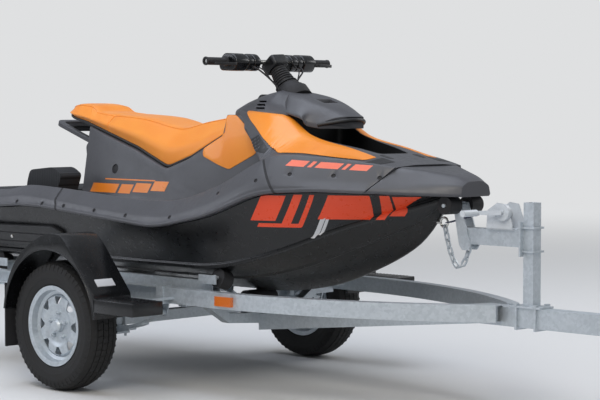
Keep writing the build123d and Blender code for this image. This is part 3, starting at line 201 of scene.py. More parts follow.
def galvanised():
    """Hot-dip galvanised steel: crystals of zinc of differing greys, dull with a cold sheen."""
    crystal_mm, stain_mm, pitting_mm, wander_mm = 11, 130, 2.5, 40
    material, tree, where, shader = start("hot_dip_galvanised_steel")
    drift = {"Scale": per_metre(wander_mm), "Detail": 3, "Roughness": 0.55}
    drifts = add(tree, "ShaderNodeTexNoise", drift, {"Vector": where}).outputs["Fac"]
    wander = {"operation": "MULTIPLY_ADD", 1: (0.01, 0.01, 0.01)}
    moved = add(tree, "ShaderNodeVectorMath", wander, {0: drifts, 2: where})
    cells = add(tree, "ShaderNodeTexVoronoi", {"Scale": per_metre(crystal_mm)}, {"Vector": moved.outputs[0]})
    grey = add(tree, "ShaderNodeSeparateColor", {}, {"Color": cells.outputs["Color"]}).outputs["Red"]
    zinc = {"data_type": "RGBA", 6: colour("#b6bec4"), 7: colour("#c6cdd3")}
    body = add(tree, "ShaderNodeMix", zinc, {"Factor": grey}).outputs[2]
    stains = {"Scale": per_metre(stain_mm), "Detail": 5, "Roughness": 0.7}
    stained = add(tree, "ShaderNodeTexNoise", stains, {"Vector": where}).outputs["Fac"]
    faint = {"From Min": 0.52, "From Max": 0.75, "To Min": 0, "To Max": 0.22}
    stain = add(tree, "ShaderNodeMapRange", faint, {"Value": stained}).outputs["Result"]
    dark = {"data_type": "RGBA", 7: colour("#9ca4a9")}
    body = add(tree, "ShaderNodeMix", dark, {"Factor": stain, 6: body}).outputs[2]
    dulled = {"To Min": 0.36, "To Max": 0.55}
    dull = add(tree, "ShaderNodeMapRange", dulled, {"Value": grey}).outputs["Result"]
    dress(tree, shader, body, dull, cast_grain(tree, where, pitting_mm, 4, 0.06, 1.2), {"Metallic": 0.6})
    return material


def rubber(name, base, tint, roughness=0.72):
    """Moulded black rubber, dusty in blotches."""
    dust_mm, grain_mm = 55, 1.4
    material, tree, where, shader = start(name)
    dust, body = mottled(tree, where, base, tint, dust_mm, 6, 0.7, 0.4, 0.75)
    dulled = {"From Min": 0.3, "From Max": 0.7, "To Min": roughness - 0.05, "To Max": roughness + 0.1}
    dull = add(tree, "ShaderNodeMapRange", dulled, {"Value": dust}).outputs["Result"]
    dress(tree, shader, body, dull, cast_grain(tree, where, grain_mm, 3, 0.08, 1.0))
    return material


def vinyl():
    """Marine vinyl over foam: a soft sheen and a leather grain of cells about 2 mm across."""
    cloud_mm, cell_mm = 110, 2.4
    material, tree, where, shader = start("orange_marine_vinyl")
    cloud, body = mottled(tree, where, "#ec8a22", "#f0962f", cloud_mm, 4, 0.55)
    leather = {"Scale": per_metre(cell_mm), "feature": "DISTANCE_TO_EDGE"}
    cells = add(tree, "ShaderNodeTexVoronoi", leather, {"Vector": where}).outputs["Distance"]
    creases = add(tree, "ShaderNodeMapRange", {"From Min": 0, "From Max": 0.16}, {"Value": cells})
    dulled = {"From Min": 0.3, "From Max": 0.7, "To Min": 0.42, "To Max": 0.52}
    dull = add(tree, "ShaderNodeMapRange", dulled, {"Value": cloud}).outputs["Result"]
    dress(tree, shader, body, dull, grain(tree, creases.outputs["Result"], 0.12),
          {"Sheen Weight": 0.15, "Sheen Roughness": 0.4})
    return material


def foam_pad():
    """Closed-cell traction foam, cut with narrow grooves across the foot, with painted shade in the grooves.
    """
    groove_pitch_mm, groove_depth_mm = 14, 0.9
    material, tree, where, shader = start("grooved_traction_foam")
    along = add(tree, "ShaderNodeSeparateXYZ", {}, {"Vector": where}).outputs["X"]
    times = {"operation": "MULTIPLY", 1: 2 * pi * per_metre(groove_pitch_mm)}
    phase = add(tree, "ShaderNodeMath", times, {0: along}).outputs[0]
    wave = add(tree, "ShaderNodeMath", {"operation": "SINE"}, {0: phase}).outputs[0]
    narrow = {"From Min": -0.9, "From Max": -0.5}
    ridge = add(tree, "ShaderNodeMapRange", narrow, {"Value": wave}).outputs["Result"]
    # The groove bottoms are painted darker than the foam between them: painted shade
    greys = {"data_type": "RGBA", 6: colour("#141517"), 7: colour("#2b2d31")}
    body = add(tree, "ShaderNodeMix", greys, {"Factor": ridge}).outputs[2]
    dress(tree, shader, body, 0.85, grain(tree, ridge, groove_depth_mm, 1.0))
    return material


def webbing():
    """Woven polyester strap: ribs across it, drawn about 5 mm apart so that they show."""
    rib_mm = 5
    material, tree, where, shader = start("navy_polyester_webbing")
    weave = {"Scale": per_metre(rib_mm) / pi, "Distortion": 0.4, "bands_direction": "X"}
    ribs = add(tree, "ShaderNodeTexWave", weave, {"Vector": where}).outputs["Fac"]
    # The valleys between the ribs are painted darker than the rib tops: painted shade
    shaded_rib_navies = {"data_type": "RGBA", 6: colour("#10162e"), 7: colour("#26305c")}
    body = add(tree, "ShaderNodeMix", shaded_rib_navies, {"Factor": ribs}).outputs[2]
    dress(tree, shader, body, 0.8, grain(tree, ribs, 0.5))
    return material


def lens(name, base, prism_shade):
    """A moulded lamp lens with ribs inside, clear and glossy outside."""
    rib_mm = 7
    material, tree, where, shader = start(name)
    prisms = {"Scale": per_metre(rib_mm) / pi, "bands_direction": "DIAGONAL"}
    ribs = add(tree, "ShaderNodeTexWave", prisms, {"Vector": where}).outputs["Fac"]
    # The ribs' hollows take the deep colour and their crests the bright one: painted shade and painted light
    # in the prisms
    painted_prism_tints = {"data_type": "RGBA", 6: colour(prism_shade), 7: colour(base)}
    body = add(tree, "ShaderNodeMix", painted_prism_tints, {"Factor": ribs}).outputs[2]
    dress(tree, shader, body, 0.35, grain(tree, ribs, 0.4), {"Coat Weight": 1.0, "Coat Roughness": 0.04})
    return material


# The last colour of a moulded finish is its paler corners: partly scuffing, partly a painted highlight
deck_plastic = moulded("moulded_deck_polypropylene", "#444549", "#4b4c51", 0.4, 1.1, 0.06, 2.0, "#6a6c74")
hull_plastic = moulded("moulded_hull_composite", "#0d0e10", "#121315", 0.3, 3.0, 0.05, 2.0, "#2e3036")
black_plastic = moulded("moulded_black_nylon", "#161719", "#1c1d1f", 0.46, 0.8, 0.07, 1.5, "#3a3b40")
orange_plastic = moulded("orange_moulded_panel", "#ee8b25", "#f0942f", 0.36, 2.2, 0.02, 2.0, coat=0.15)
guard_plastic = moulded("gloss_black_polyethylene", "#0e0f11", "#141517", 0.22, 4.0, 0.05, 2.0, "#34353a")
seat_vinyl = vinyl()
pad_foam = foam_pad()
zinc_steel = galvanised()
stainless = metal("polished_stainless_steel", "#c9c8c4", "#b6b5b1", 0.2, 70)
cast_aluminium = metal("cast_aluminium", "#a9abad", "#96999c", 0.42, 60, 1.6, 0.08)
tyre_rubber = rubber("tyre_rubber", "#161617", "#222120")
black_rubber = rubber("moulded_black_rubber", "#1b1b1d", "#26262a", 0.66)
red_lens = lens("red_acrylic_lens", "#b01118", "#5e070b")
amber_lens = lens("amber_acrylic_lens", "#f08020", "#a8480a")
winch_paint = moulded("enamelled_winch_steel", "#c9ced3", "#bcc2c8", 0.3, 3.0, 0.03, 1.2, "#8f959b")
strap_webbing = webbing()

node_finishes = {
    "deck_plastic": deck_plastic, "hull_shell": hull_plastic, "black_trim": black_plastic,
    "orange_panel": orange_plastic, "seat_vinyl": seat_vinyl, "traction_foam": pad_foam,
    "galvanised_steel": zinc_steel, "stainless_steel": stainless, "cast_aluminium": cast_aluminium,
    "guard_plastic": guard_plastic, "tyre_rubber": tyre_rubber, "black_rubber": black_rubber,
    "red_lens": red_lens, "amber_lens": amber_lens, "winch_paint": winch_paint, "navy_webbing": strap_webbing,
}
for entry in frame["record"]["subparts"]:
    data = frame["nodes"][entry["node"]].data
    data.materials.clear()
    data.materials.append(node_finishes[entry["material_slot"]])


# Mesh helpers

longest_bend = 0.45  # of the shorter side, so that two bends never meet
tiny = 1e-6
merge_within = 1e-5  # metres


def bend(first, corner, last, share):
    """A point on the soft bend that runs from first to last round a corner."""
    return first * (1 - share) ** 2 + corner * 2 * share * (1 - share) + last * share ** 2


def rounded(points, radii, steps):
    """A closed outline of (a, b) points with each corner turned into a soft bend of steps + 1 points.

    The radii are one number for all corners, or a list with one for each.
    """
    out = []
    count = len(points)
    if isinstance(radii, (int, float)):
        radii = [radii] * count
    for i in range(count):
        corner = Vector(points[i])
        before, after = Vector(points[i - 1]) - corner, Vector(points[(i + 1) % count]) - corner
        reach = min(radii[i], longest_bend * before.length, longest_bend * after.length)
        first, last = corner + before.normalized() * reach, corner + after.normalized() * reach
        out += [tuple(bend(first, corner, last, k / steps)) for k in range(steps + 1)]
    return out


def smooth(table, step):
    """The rows of a table with rows between them, about a step apart, on a smooth curve."""
    rows = []
    for i in range(len(table) - 1):
        here, there = table[i], table[i + 1]
        before = table[i - 1] if i else here
        beyond = table[i + 2] if i + 2 < len(table) else there
        span = there[0] - here[0]
        count = max(1, round(span / step))
        for k in range(count):
            t = k / count
            row = [here[0] + span * t]
            for a, b, c, d in zip(before[1:], here[1:], there[1:], beyond[1:]):
                slope_here = (c - a) / (there[0] - before[0]) * span
                slope_there = (d - b) / (beyond[0] - here[0]) * span
                row.append(b * (1 + 2 * t) * (1 - t) ** 2 + slope_here * t * (1 - t) ** 2
                           + c * t ** 2 * (3 - 2 * t) - slope_there * t ** 2 * (1 - t))
            rows.append(tuple(row))
    return rows + [table[-1]]


def reader(line):
    """A function that reads a bent line of (x, value, bend radius) rows at any x."""
    points = [Vector(line[0][:2])]
    for a, b, c in zip(line, line[1:], line[2:]):
        corner = Vector(b[:2])
        back, on = Vector(a[:2]) - corner, Vector(c[:2]) - corner
        half_turn = back.angle(on) / 2
        steepness = max(tiny, sin(half_turn) / max(tiny, cos(half_turn)))
        reach = min(b[2] / steepness, 0.48 * back.length, 0.48 * on.length)
        first, last = corner + back.normalized() * reach, corner + on.normalized() * reach
        points += [bend(first, corner, last, share) for share in (0, 0.2, 0.4, 0.6, 0.8, 1)]
    points.append(Vector(line[-1][:2]))

    def read(x):
        """The line's value at x."""
        for low, high in zip(points, points[1:]):
            if x <= high.x:
                return low.y + (high.y - low.y) * (x - low.x) / max(tiny, high.x - low.x)
        return points[-1].y

    return read


@contextmanager
def opened(mesh):
    """A mesh opened for work, and written back afterwards."""
    work = bmesh.new()
    work.from_mesh(mesh)
    yield work
    work.to_mesh(mesh)
    work.free()


def mesh_of(name, corners, faces):
    """A mesh from points in millimetres about the axle, with its doubles merged and its faces outward."""
    mesh = bpy.data.meshes.new(name)
    mesh.from_pydata([place(*c) for c in corners], [], faces)
    return closed(mesh)


def closed(mesh):
    """The same mesh with doubles merged and its faces turned outward."""
    with opened(mesh) as work:
        bmesh.ops.remove_doubles(work, verts=work.verts, dist=merge_within)
        bmesh.ops.dissolve_degenerate(work, edges=work.edges, dist=merge_within)
        loose = [edge for edge in work.edges if not edge.link_faces]
        bmesh.ops.delete(work, geom=loose, context="EDGES")
        bmesh.ops.recalc_face_normals(work, faces=work.faces)
    return mesh


def skin(name, rings, looped=False):
    """A skin over rings of equally many (x, y, z) points, with closed ends or led on to the first ring."""
    count = len(rings[0])
    faces = []
    for i in range(len(rings) if looped else len(rings) - 1):
        n = (i + 1) % len(rings)
        for j in range(count):
            k = (j + 1) % count
            faces.append((i * count + j, i * count + k, n * count + k, n * count + j))
    if not looped:
        faces.append(tuple(range(count)))
        faces.append(tuple(range((len(rings) - 1) * count, len(rings) * count)))
    return mesh_of(name, [p for ring in rings for p in ring], faces)


def ring(x, points, radii, steps):
    """A rounded ring across the craft at x, through (y, z) points."""
    return [(x, y, z) for y, z in rounded(points, radii, steps)]


def whole_ring(x, half, radii, steps):
    """A rounded ring from the (y, z) points and bends of one half, from the bottom up, and its mirror."""
    points = [(-y, z) for y, z in half] + [(y, z) for y, z in reversed(half)]
    return ring(x, points, radii + radii[::-1], steps)


def lofted(name, section, rows, step):
    """A skin over the sections of a table's rows, with more sections between them about a step apart."""
    return skin(name, [section(*row) for row in smooth(rows, step)])


def mirrored(mesh):
    """A mesh together with its mirror image across the craft's middle."""
    half = mesh.copy()
    with opened(half) as work:
        bmesh.ops.scale(work, vec=(1, -1, 1), verts=work.verts)
        bmesh.ops.reverse_faces(work, faces=work.faces)
    with opened(mesh) as work:
        work.from_mesh(half)
    bpy.data.meshes.remove(half)
    return mesh


def mirrored_half(mesh):
    """The starboard half of a mesh together with its mirror image, so that both sides are alike."""
    half = mesh.copy()
    with opened(half) as work:
        geometry = work.verts[:] + work.edges[:] + work.faces[:]
        bmesh.ops.bisect_plane(work, geom=geometry, dist=tiny, plane_co=(0, 0, 0), plane_no=(0, 1, 0),
                               clear_outer=True)
    whole = mirrored(half)
    with opened(whole) as work:
        bmesh.ops.remove_doubles(work, verts=work.verts, dist=2 * merge_within)
    return whole


def other_side(mesh):
    """The mirror image of a mesh across the craft's middle, as a mesh of its own."""
    other = mesh.copy()
    other.transform(Matrix.Scale(-1, 4, (0, 1, 0)))
    other.flip_normals()
    return other


def set_down(mesh, spot, turn):
    """A mesh drawn about the ground under the axle, turned there and set down at a spot."""
    mesh.transform(Matrix.Translation(place(*spot)) @ turn @ Matrix.Translation(-place(0, 0, 0)))
    return mesh


def shaped(mesh, *steps):
    """The mesh after a row of modifiers, each a kind with its settings."""
    scratch = bpy.data.objects.new("scratch", mesh)
    bpy.context.scene.collection.objects.link(scratch)
    for kind, settings in steps:
        modifier = scratch.modifiers.new(kind, kind)
        for key, value in settings.items():
            setattr(modifier, key, value)
    graph = bpy.context.evaluated_depsgraph_get()
    result = bpy.data.meshes.new_from_object(scratch.evaluated_get(graph))
    result.name = mesh.name
    bpy.data.objects.remove(scratch)
    return result


def cut(mesh, *cutters, keep="DIFFERENCE"):
    """The mesh less each cutter, or what it shares with it."""
    for cutter in cutters:
        tool = bpy.data.objects.new("cutter", cutter)
        bpy.context.scene.collection.objects.link(tool)
        mesh = shaped(mesh, ("BOOLEAN", {"object": tool, "operation": keep, "solver": "EXACT"}))
        bpy.data.objects.remove(tool)
    return mesh


def in_triangles(mesh):
    """The same mesh in triangles, so that a film cut from it lies exactly on it."""
    with opened(mesh) as work:
        bmesh.ops.triangulate(work, faces=work.faces)
    return mesh


def edge_softened(mesh, width_mm, segments, angle):
    """The mesh with the edges that turn by more than an angle in degrees rounded."""
    settings = {"width": width_mm / 1000, "segments": segments, "limit_method": "ANGLE",
                "angle_limit": radians(angle), "miter_outer": "MITER_ARC"}
    return shaped(mesh, ("BEVEL", settings))


def side_of(mesh, point, normal):
    """The part of a mesh behind a plane through a point, in millimetres about the axle, closed there."""
    result = mesh.copy()
    with opened(result) as work:
        geometry = work.verts[:] + work.edges[:] + work.faces[:]
        made = bmesh.ops.bisect_plane(work, geom=geometry, dist=tiny, plane_co=place(*point), plane_no=normal,
                                      clear_outer=True)
        edges = [e for e in made["geom_cut"] if isinstance(e, bmesh.types.BMEdge)]
        bmesh.ops.holes_fill(work, edges=edges, sides=0)
    return closed(result)


def prism(outline, low, high, across="y"):
    """A block with an (a, b) outline, run from low to high along one axis."""
    orders = {"x": lambda a, b, c: (c, a, b), "y": lambda a, b, c: (a, c, b), "z": lambda a, b, c: (a, b, c)}
    count = len(outline)
    corners = [orders[across](a, b, level) for level in (low, high) for a, b in outline]
    faces = [tuple(range(count)), tuple(range(count, 2 * count))]
    faces += [(i, (i + 1) % count, count + (i + 1) % count, count + i) for i in range(count)]
    return mesh_of("prism", corners, faces)


def oblong(a0, a1, b0, b1):
    """The outline of a rectangle."""
    return [(a0, b0), (a1, b0), (a1, b1), (a0, b1)]


def round_outline(a, b, radius, sides, first=0.0):
    """The outline of a disc, or of a regular figure whose first corner is at an angle."""
    angles = [first + 2 * pi * k / sides for k in range(sides)]
    return [(a + radius * cos(angle), b + radius * sin(angle)) for angle in angles]


def tube(name, points, radius, sides):
    """A round tube through points in millimetres about the axle."""
    angles = [2 * pi * k / sides for k in range(sides)]
    rings = []
    points = [Vector(p) for p in points]
    normal = None
    for i, point in enumerate(points):
        ahead = (points[min(i + 1, len(points) - 1)] - points[max(i - 1, 0)]).normalized()
        if normal is None:
            normal = ahead.orthogonal().normalized()
        normal = (normal - ahead * normal.dot(ahead)).normalized()
        side = ahead.cross(normal)
        rings.append([tuple(point + (normal * cos(angle) + side * sin(angle)) * radius) for angle in angles])
    return skin(name, rings)


def turned(name, profile, centre, axis, sides):
    """A ring or disc from (along, radius) points, spun about a line along one axis."""
    rings = []
    for k in range(sides):
        angle = 2 * pi * k / sides
        line = []
        for along, radius in profile:
            a, b = radius * cos(angle), radius * sin(angle)
            line.append({"x": (along, centre[1] + a, centre[2] + b),
                         "y": (centre[0] + a, along, centre[2] + b),
                         "z": (centre[0] + a, centre[1] + b, along)}[axis])
        rings.append(line)
    return skin(name, rings, looped=True)


def joined(name, *meshes):
    """Several meshes as one."""
    result = bpy.data.meshes.new(name)
    with opened(result) as work:
        for mesh in meshes:
            work.from_mesh(mesh)
    return result


def shade(mesh, sharp):
    """Smooth faces, with a crease wherever two of them turn by more than sharp degrees."""
    with opened(mesh) as work:
        for face in work.faces:
            face.smooth = True
        for edge in work.edges:
            edge.smooth = len(edge.link_faces) == 2 and edge.calc_face_angle(0) < radians(sharp)


def piece(name, mesh, slot, body=ROOT, hides=(), sharp=32, finish=None):
    """A piece riding on its body, in its slot's finish or another, in place of the nodes it hides."""
    shade(mesh, sharp)
    mesh.materials.clear()
    mesh.materials.append(finish or node_finishes[slot])
    obj = bpy.data.objects.new(name, mesh)
    bpy.context.scene.collection.objects.link(obj)
    if body:
        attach(obj, body)
    if hides:
        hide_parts(*hides)
    return obj


# The craft's lines, in millimetres about the axle: x, value, radius of the bend there
sheer = reader([(-1400, 800, 0), (-800, 787, 1200), (-620, 801, 900), (-440, 797, 1500), (370, 734, 700),
                (700, 800, 900), (960, 905, 500), (1200, 918, 1500), (1800, 900, 0)])
inner_edge = reader([(-1400, 400, 0), (-1190, 485, 300), (-800, 500, 800), (370, 495, 900), (680, 467, 900),
                     (960, 408, 900), (1200, 325, 900), (1800, 60, 0)])
# x, top z, fold y, fold z, outer y
rail_rows = [
    (-1315, 845, 480, 822, 500), (-1190, 862, 545, 835, 565), (-800, 874, 575, 842, 590),
    (-640, 898, 577, 852, 590), (-440, 893, 577, 845, 590), (370, 856, 573, 790, 588),
    (660, 925, 550, 850, 568), (950, 1062, 490, 965, 515), (1200, 1058, 395, 965, 420),
    (1400, 1036, 295, 958, 318), (1560, 1010, 210, 952, 232),
]
# Seams across the gunwales: x at the seams' height, and how far x moves for each millimetre above it
stern_seam = (-390, -0.6)
bow_seam = (1045, -0.93)
nose_seam = (1400, 0.75)
seam_height = 915
seam_gap = 4


def aft_of(mesh, seam, gap=seam_gap):
    """The part of a mesh aft of a seam, short of it by a gap."""
    return side_of(mesh, (seam[0] - gap, 0, seam_height), (1, 0, -seam[1]))


def ahead_of(mesh, seam):
    """The part of a mesh ahead of a seam."""
    return side_of(mesh, (seam[0], 0, seam_height), (-1, 0, seam[1]))


def swollen(mesh, amount_mm):
    """The mesh with every point moved outward by an amount."""
    with opened(mesh) as work:
        work.normal_update()
        for vertex in work.verts:
            vertex.co += vertex.normal * amount_mm / 1000
    return mesh


# Gunwales: a flat top, a rolled fold, a hollow lower face and a bead along the lower edge

def rail_ring(x, top, fold_y, fold_z, outer_y):
    """The gunwale across at x, from its inner wall over the fold and down to the bead."""
    inner, low = inner_edge(x), sheer(x)
    drop = fold_z - low
    points = [(-inner, low + 3), (-inner, top), (-inner - 10, top), (-fold_y, fold_z),
              (-outer_y + 4, low + 0.5 * drop), (-outer_y + 1, low + 20), (-outer_y - 4, low + 14),
              (-outer_y - 4, low + 2), (-outer_y + 14, low + 1)]
    return ring(x, points, [2, 3, 12, 20, 30, 5, 5, 5, 2], 5)


rail_mesh = lofted("gunwale", rail_ring, rail_rows, 30)
plug_places = [(-633, 820), (-435, 818), (-273, 812), (-49, 800), (173, 786), (468, 790), (717, 902),
               (934, 962), (1078, 991), (1258, 987), (1436, 981)]
plug_radius, plug_depth = 10, 5
outside_y = -1500


def search_tree(mesh):
    """A tree that finds where a line meets a mesh."""
    return BVHTree.FromPolygons([v.co for v in mesh.vertices], [tuple(p.vertices) for p in mesh.polygons])


def drill(mesh, places, radius_mm, depth_mm, name, sides=20):
    """A hole with a raised dimple at its bottom at each (x, z) place on the outer face of a mesh."""
    tree = search_tree(mesh)
    cutters, caps = [], []
    for x, z in places:
        spot, normal, _, _ = tree.ray_cast(place(x, outside_y, z), Vector((0, 1, 0)))
        if spot is None:
            continue
        turn = normal.to_track_quat("Z", "Y").to_matrix().to_4x4()
        hole = (-depth_mm, 4, radius_mm, cutters)
        dimple = (-depth_mm - 2, -depth_mm + 1.2, radius_mm - 1, caps)
        for low, high, radius, row in (hole, dimple):
            made = bpy.data.meshes.new(name)
            with opened(made) as work:
                bmesh.ops.create_cone(work, cap_ends=True, segments=sides, radius1=radius / 1000,
                                      radius2=radius / 1000, depth=(high - low) / 1000)
                bmesh.ops.translate(work, verts=work.verts, vec=(0, 0, (low + high) / 2000))
                bmesh.ops.transform(work, verts=work.verts, matrix=Matrix.Translation(spot) @ turn)
            row.append(made)
    return cut(mesh, joined("drills", *cutters)), joined(name, *caps)


rail_mesh, plug_mesh = drill(in_triangles(rail_mesh), plug_places, plug_radius, plug_depth, "plugs")
for label, mesh, node in (
        ("stern", aft_of(rail_mesh, stern_seam), "gunwale_stern"),
        ("middle", aft_of(ahead_of(rail_mesh, stern_seam), bow_seam), "gunwale_mid"),
        ("bow", aft_of(ahead_of(rail_mesh, bow_seam), nose_seam), "gunwale_bow")):
    piece("rail_" + label, mirrored(edge_softened(mesh, 2.0, 2, 50)), "deck_plastic", hides=[node])
piece("rail_plugs", mirrored(plug_mesh), "black_rubber")

gasket_width, gasket_overlap, gasket_proud = 10, 1, 0.9
gaskets = []
for x, lean in (stern_seam, bow_seam):
    strip = ahead_of(aft_of(rail_mesh, (x, lean), -gasket_overlap), (x - gasket_width, lean))
    gaskets.append(swollen(strip, gasket_proud))
piece("rail_gaskets", mirrored(joined("gaskets", *gaskets)), "black_rubber")

# Nose cap: its sides run on from the gunwales, and its end is rounded
# x, bottom y, fold y, fold z, top y, top z
nose_rows = [
    (1370, 332, 310, 960, 255, 1040), (1500, 262, 240, 955, 180, 1022), (1600, 200, 180, 953, 120, 1006),
    (1690, 138, 122, 952, 70, 988), (1735, 96, 86, 948, 45, 968),
]


def nose_ring(x, bottom_y, fold_y, fold_z, top_y, top):
    """The nose cap across at x."""
    low = sheer(x) + 2
    half = [(bottom_y - 10, low), (bottom_y, low + 8), (bottom_y - 5, (low + fold_z) / 2), (fold_y, fold_z),
            (top_y, top)]
    return whole_ring(x, half, [3, 6, 24, 16, 30], 5)


nose_mesh = ahead_of(lofted("nose", nose_ring, nose_rows, 22), nose_seam)
piece("nose_cover", edge_softened(nose_mesh, 7, 4, 50), "deck_plastic", hides=["nose_cap"])

# Lower hull: x, keel z, chine y, chine z, side y at the sheer
hull_rows = [
    (-1190, 430, 455, 560, 545), (-440, 430, 470, 564, 565), (370, 430, 465, 563, 560),
    (660, 436, 446, 574, 540), (950, 482, 380, 645, 490), (1200, 566, 270, 745, 395),
    (1400, 662, 160, 815, 290), (1500, 745, 90, 850, 200), (1590, 868, 25, 884, 90),
]
# The strake runs at this share of the way from the keel to the chine, and fades where the chine is nearer
# the middle than the second value
strake_share = 0.56
strake_end_y = 200


def hull_ring(x, keel, chine_y, chine_z, top_y):
    """The hull across at x: keel, strake, the chine with its lip, and the topside up to the sheer."""
    top = sheer(x)
    strake_y, strake_z = chine_y * strake_share, keel + (chine_z - keel) * strake_share
    lip_z = strake_z - 3 if chine_y > strake_end_y else strake_z
    side = [(-strake_y, strake_z), (-strake_y - 9, lip_z), (-strake_y - 18, strake_z + 9),
            (-chine_y - 5, chine_z - 3), (-chine_y - 4, chine_z + 13), (-chine_y + 3, chine_z + 20),
            (-(chine_y + top_y) / 2 - 3, (chine_z + top) / 2 + 8), (-top_y, top - 1)]
    bends = [5, 4, 5, 7, 6, 8, 120, 4]
    points = [(0.0, keel)] + side + [(-y, z) for y, z in reversed(side)]
    return ring(x, points, [16] + bends + bends[::-1], 4)


hull_mesh = in_triangles(lofted("hull", hull_ring, hull_rows, 32))
tunnel = prism(oblong(-1260, -1000, 380, 715), -128, 128)
duct_side = [(-1001, 495), (-1001, 635), (-900, 635), (-560, 500), (-560, 380), (-900, 380), (-930, 495)]
duct = prism(duct_side, -70, 70)
engine_bay = prism(oblong(100, 700, 520, 900), -230, 230)
sponson_side = [(-1130, -52), (-1130, 52), (-420, 66), (-352, 40), (-380, -40), (-1080, -56)]
sponson_middle = (0, -508, 650)
side_lean = atan2(95, 227)


def leaned(mesh):
    """A mesh drawn about the sponson's middle, leaned to the hull's side."""
    return set_down(mesh, sponson_middle, Matrix.Rotation(side_lean, 4, "X"))


recess = leaned(prism(sponson_side, -60, 8))
hull_mesh = cut(hull_mesh, tunnel, duct, engine_bay, mirrored(recess))
piece("hull_shell", hull_mesh, "hull_shell", hides=["hull"], sharp=28)

sponson_mesh = leaned(edge_softened(prism(rounded(sponson_side, 14, 4), -17, 7), 6, 3, 40))
grooves = [leaned(prism([(-1090, z - 4), (-1090, z + 4), (-420, z + 8), (-420, z)], -40, -13))
           for z in (-26, 20)]
bolt_profile = [(-22.5, 0), (-22.5, 7), (-20, 9), (-14, 9), (-14, 0)]
bolts = [turned("bolt", bolt_profile, (x, 0, 0), "y", 12) for x in (-1085, -760, -430)]
piece("sponson_blades", mirrored(cut(sponson_mesh, *grooves)), "black_trim", hides=["sponsons"])
piece("sponson_bolts", mirrored(leaned(joined("bolts", *bolts))), "stainless_steel")

# Seat: foam under vinyl, on a black base band, with a welt along each upper edge and a seam behind the rider
seat_line = reader([(-900, 1236, 0), (-640, 1190, 100), (-200, 1072, 200), (40, 984, 90), (200, 1036, 150),
                    (432, 1150, 0)])
# x, bottom y, side y, side z, top y, top z
seat_rows = [
    (-845, 85, 98, 1248, 70, 1272), (-775, 122, 136, 1240, 95, 1296), (-640, 146, 158, 1225, 105, 1288),
    (-585, 152, 165, 1215, 112, 1258), (-200, 188, 198, 1140, 128, 1228), (40, 206, 204, 1080, 114, 1184),
    (200, 202, 190, 1110, 100, 1212), (425, 184, 168, 1190, 80, 1244),
]
seat_seam_x = -455
seam_depth, seam_width = 6, 24


def seat_ring(x, bottom_y, side_y, side_z, top_y, top):
    """The seat across at x, drawn in a little at the seam."""
    low = seat_line(x) + 13
    waist = seam_depth * max(0.0, 1 - ((x - seat_seam_x) / seam_width) ** 2)
    side_y, top = side_y - waist, top - waist
    half = [(bottom_y - 4, low), (bottom_y - 1, low + 8), (side_y + 2, side_z), (top_y + 3, top - 5),
            (top_y * 0.5, top - 2)]
    return whole_ring(x, half, [3, 10, 40, 34, 60], 5)


seat_table = smooth(seat_rows, 12)
seat_mesh = edge_softened(skin("seat", [seat_ring(*row) for row in seat_table]), 9, 4, 50)
seat_piece = piece("seat_cushion", seat_mesh, "seat_vinyl", hides=["seat"], sharp=50)


def seat_base_ring(x, bottom_y):
    """The black band under the seat, across at x."""
    low = seat_line(x)
    half = [(bottom_y - 6, low + 1), (bottom_y + 4, low + 3), (bottom_y + 4, low + 15),
            (bottom_y - 6, low + 17)]
    return whole_ring(x, half, [2, 4, 4, 2], 3)


seat_base = skin("seat_base", [seat_base_ring(x, bottom_y) for x, bottom_y, *_ in seat_table])
piece("seat_base_band", edge_softened(seat_base, 4, 2, 50), "black_trim", sharp=40)


def along_skin(mesh, spots, lift_mm):
    """Points where lines from outside meet a mesh, lifted off it: each spot is a start and a direction."""
    tree = search_tree(mesh)
    line = []
    for start_at, heading in spots:
        spot, normal, _, _ = tree.ray_cast(place(*start_at), Vector(heading).normalized())
        if spot is not None:
            lifted = spot + normal * lift_mm / 1000
            line.append(((lifted.x - axle_x) * 1000, lifted.y * 1000, lifted.z * 1000))
    return line


# Lines to the seat's upper edges start this far out and this far above them, those to the seam on an arc
from_out, from_above = 400, 330
arc_z, arc_radius = 1120, 600
welts = []
for side in (-1, 1):
    edge_spots = []
    for x, _, _, _, top_y, top in seat_table[3:-2]:
        heading = (0, -side * (from_out - top_y - 6), -from_above - 12)
        edge_spots.append(((x, side * from_out, top + from_above), heading))
    welts.append(tube("welt", along_skin(seat_mesh, edge_spots, 0.8), 2.6, 8))
seam_spots = []
for k in range(-3, 64):
    angle = pi * k / 60
    start_at = (seat_seam_x, arc_radius * cos(angle), arc_z + arc_radius * sin(angle))
    seam_spots.append((start_at, (0, -cos(angle), -sin(angle))))
welts.append(tube("welt", along_skin(seat_mesh, seam_spots, 0.6), 2.2, 8))
piece("seat_welts", joined("seat_welts", *welts), "seat_vinyl", sharp=60)

# Pedestal under the seat, flowing into the footwells, with the floor and the boarding platform
# x, y at the foot, y at the top
pedestal_rows = [(-610, 215, 140), (-440, 255, 160), (-100, 268, 180), (380, 262, 190), (716, 238, 186)]
floor_skin = 12
platform_top = 858
edge_gap = 1.5  # between a deck piece and the gunwale's inner wall
seat_front_x, cowl_foot_z = 432, 1240
pedestal_foot_z, pedestal_rise = 690, 610


def pedestal_ring(x, low_y, top_y):
    """The pedestal across at x, up to the seat or, ahead of it, up under the cowl."""
    floor_z, top = sheer(x) + floor_skin - 4, seat_line(x) if x < seat_front_x else cowl_foot_z

    def side(z):
        """How far out the pedestal's wall is at a height."""
        return low_y + (top_y - low_y) * (z - pedestal_foot_z) / pedestal_rise

    half = [(side(floor_z) + 42, floor_z), (side(floor_z) + 5, floor_z + 52), (side(top - 60) + 2, top - 60),
            (side(top), top)]
    return whole_ring(x, half, [2, 46, 60, 7], 6)


pedestal_mesh = in_triangles(lofted("pedestal", pedestal_ring, pedestal_rows, 20))


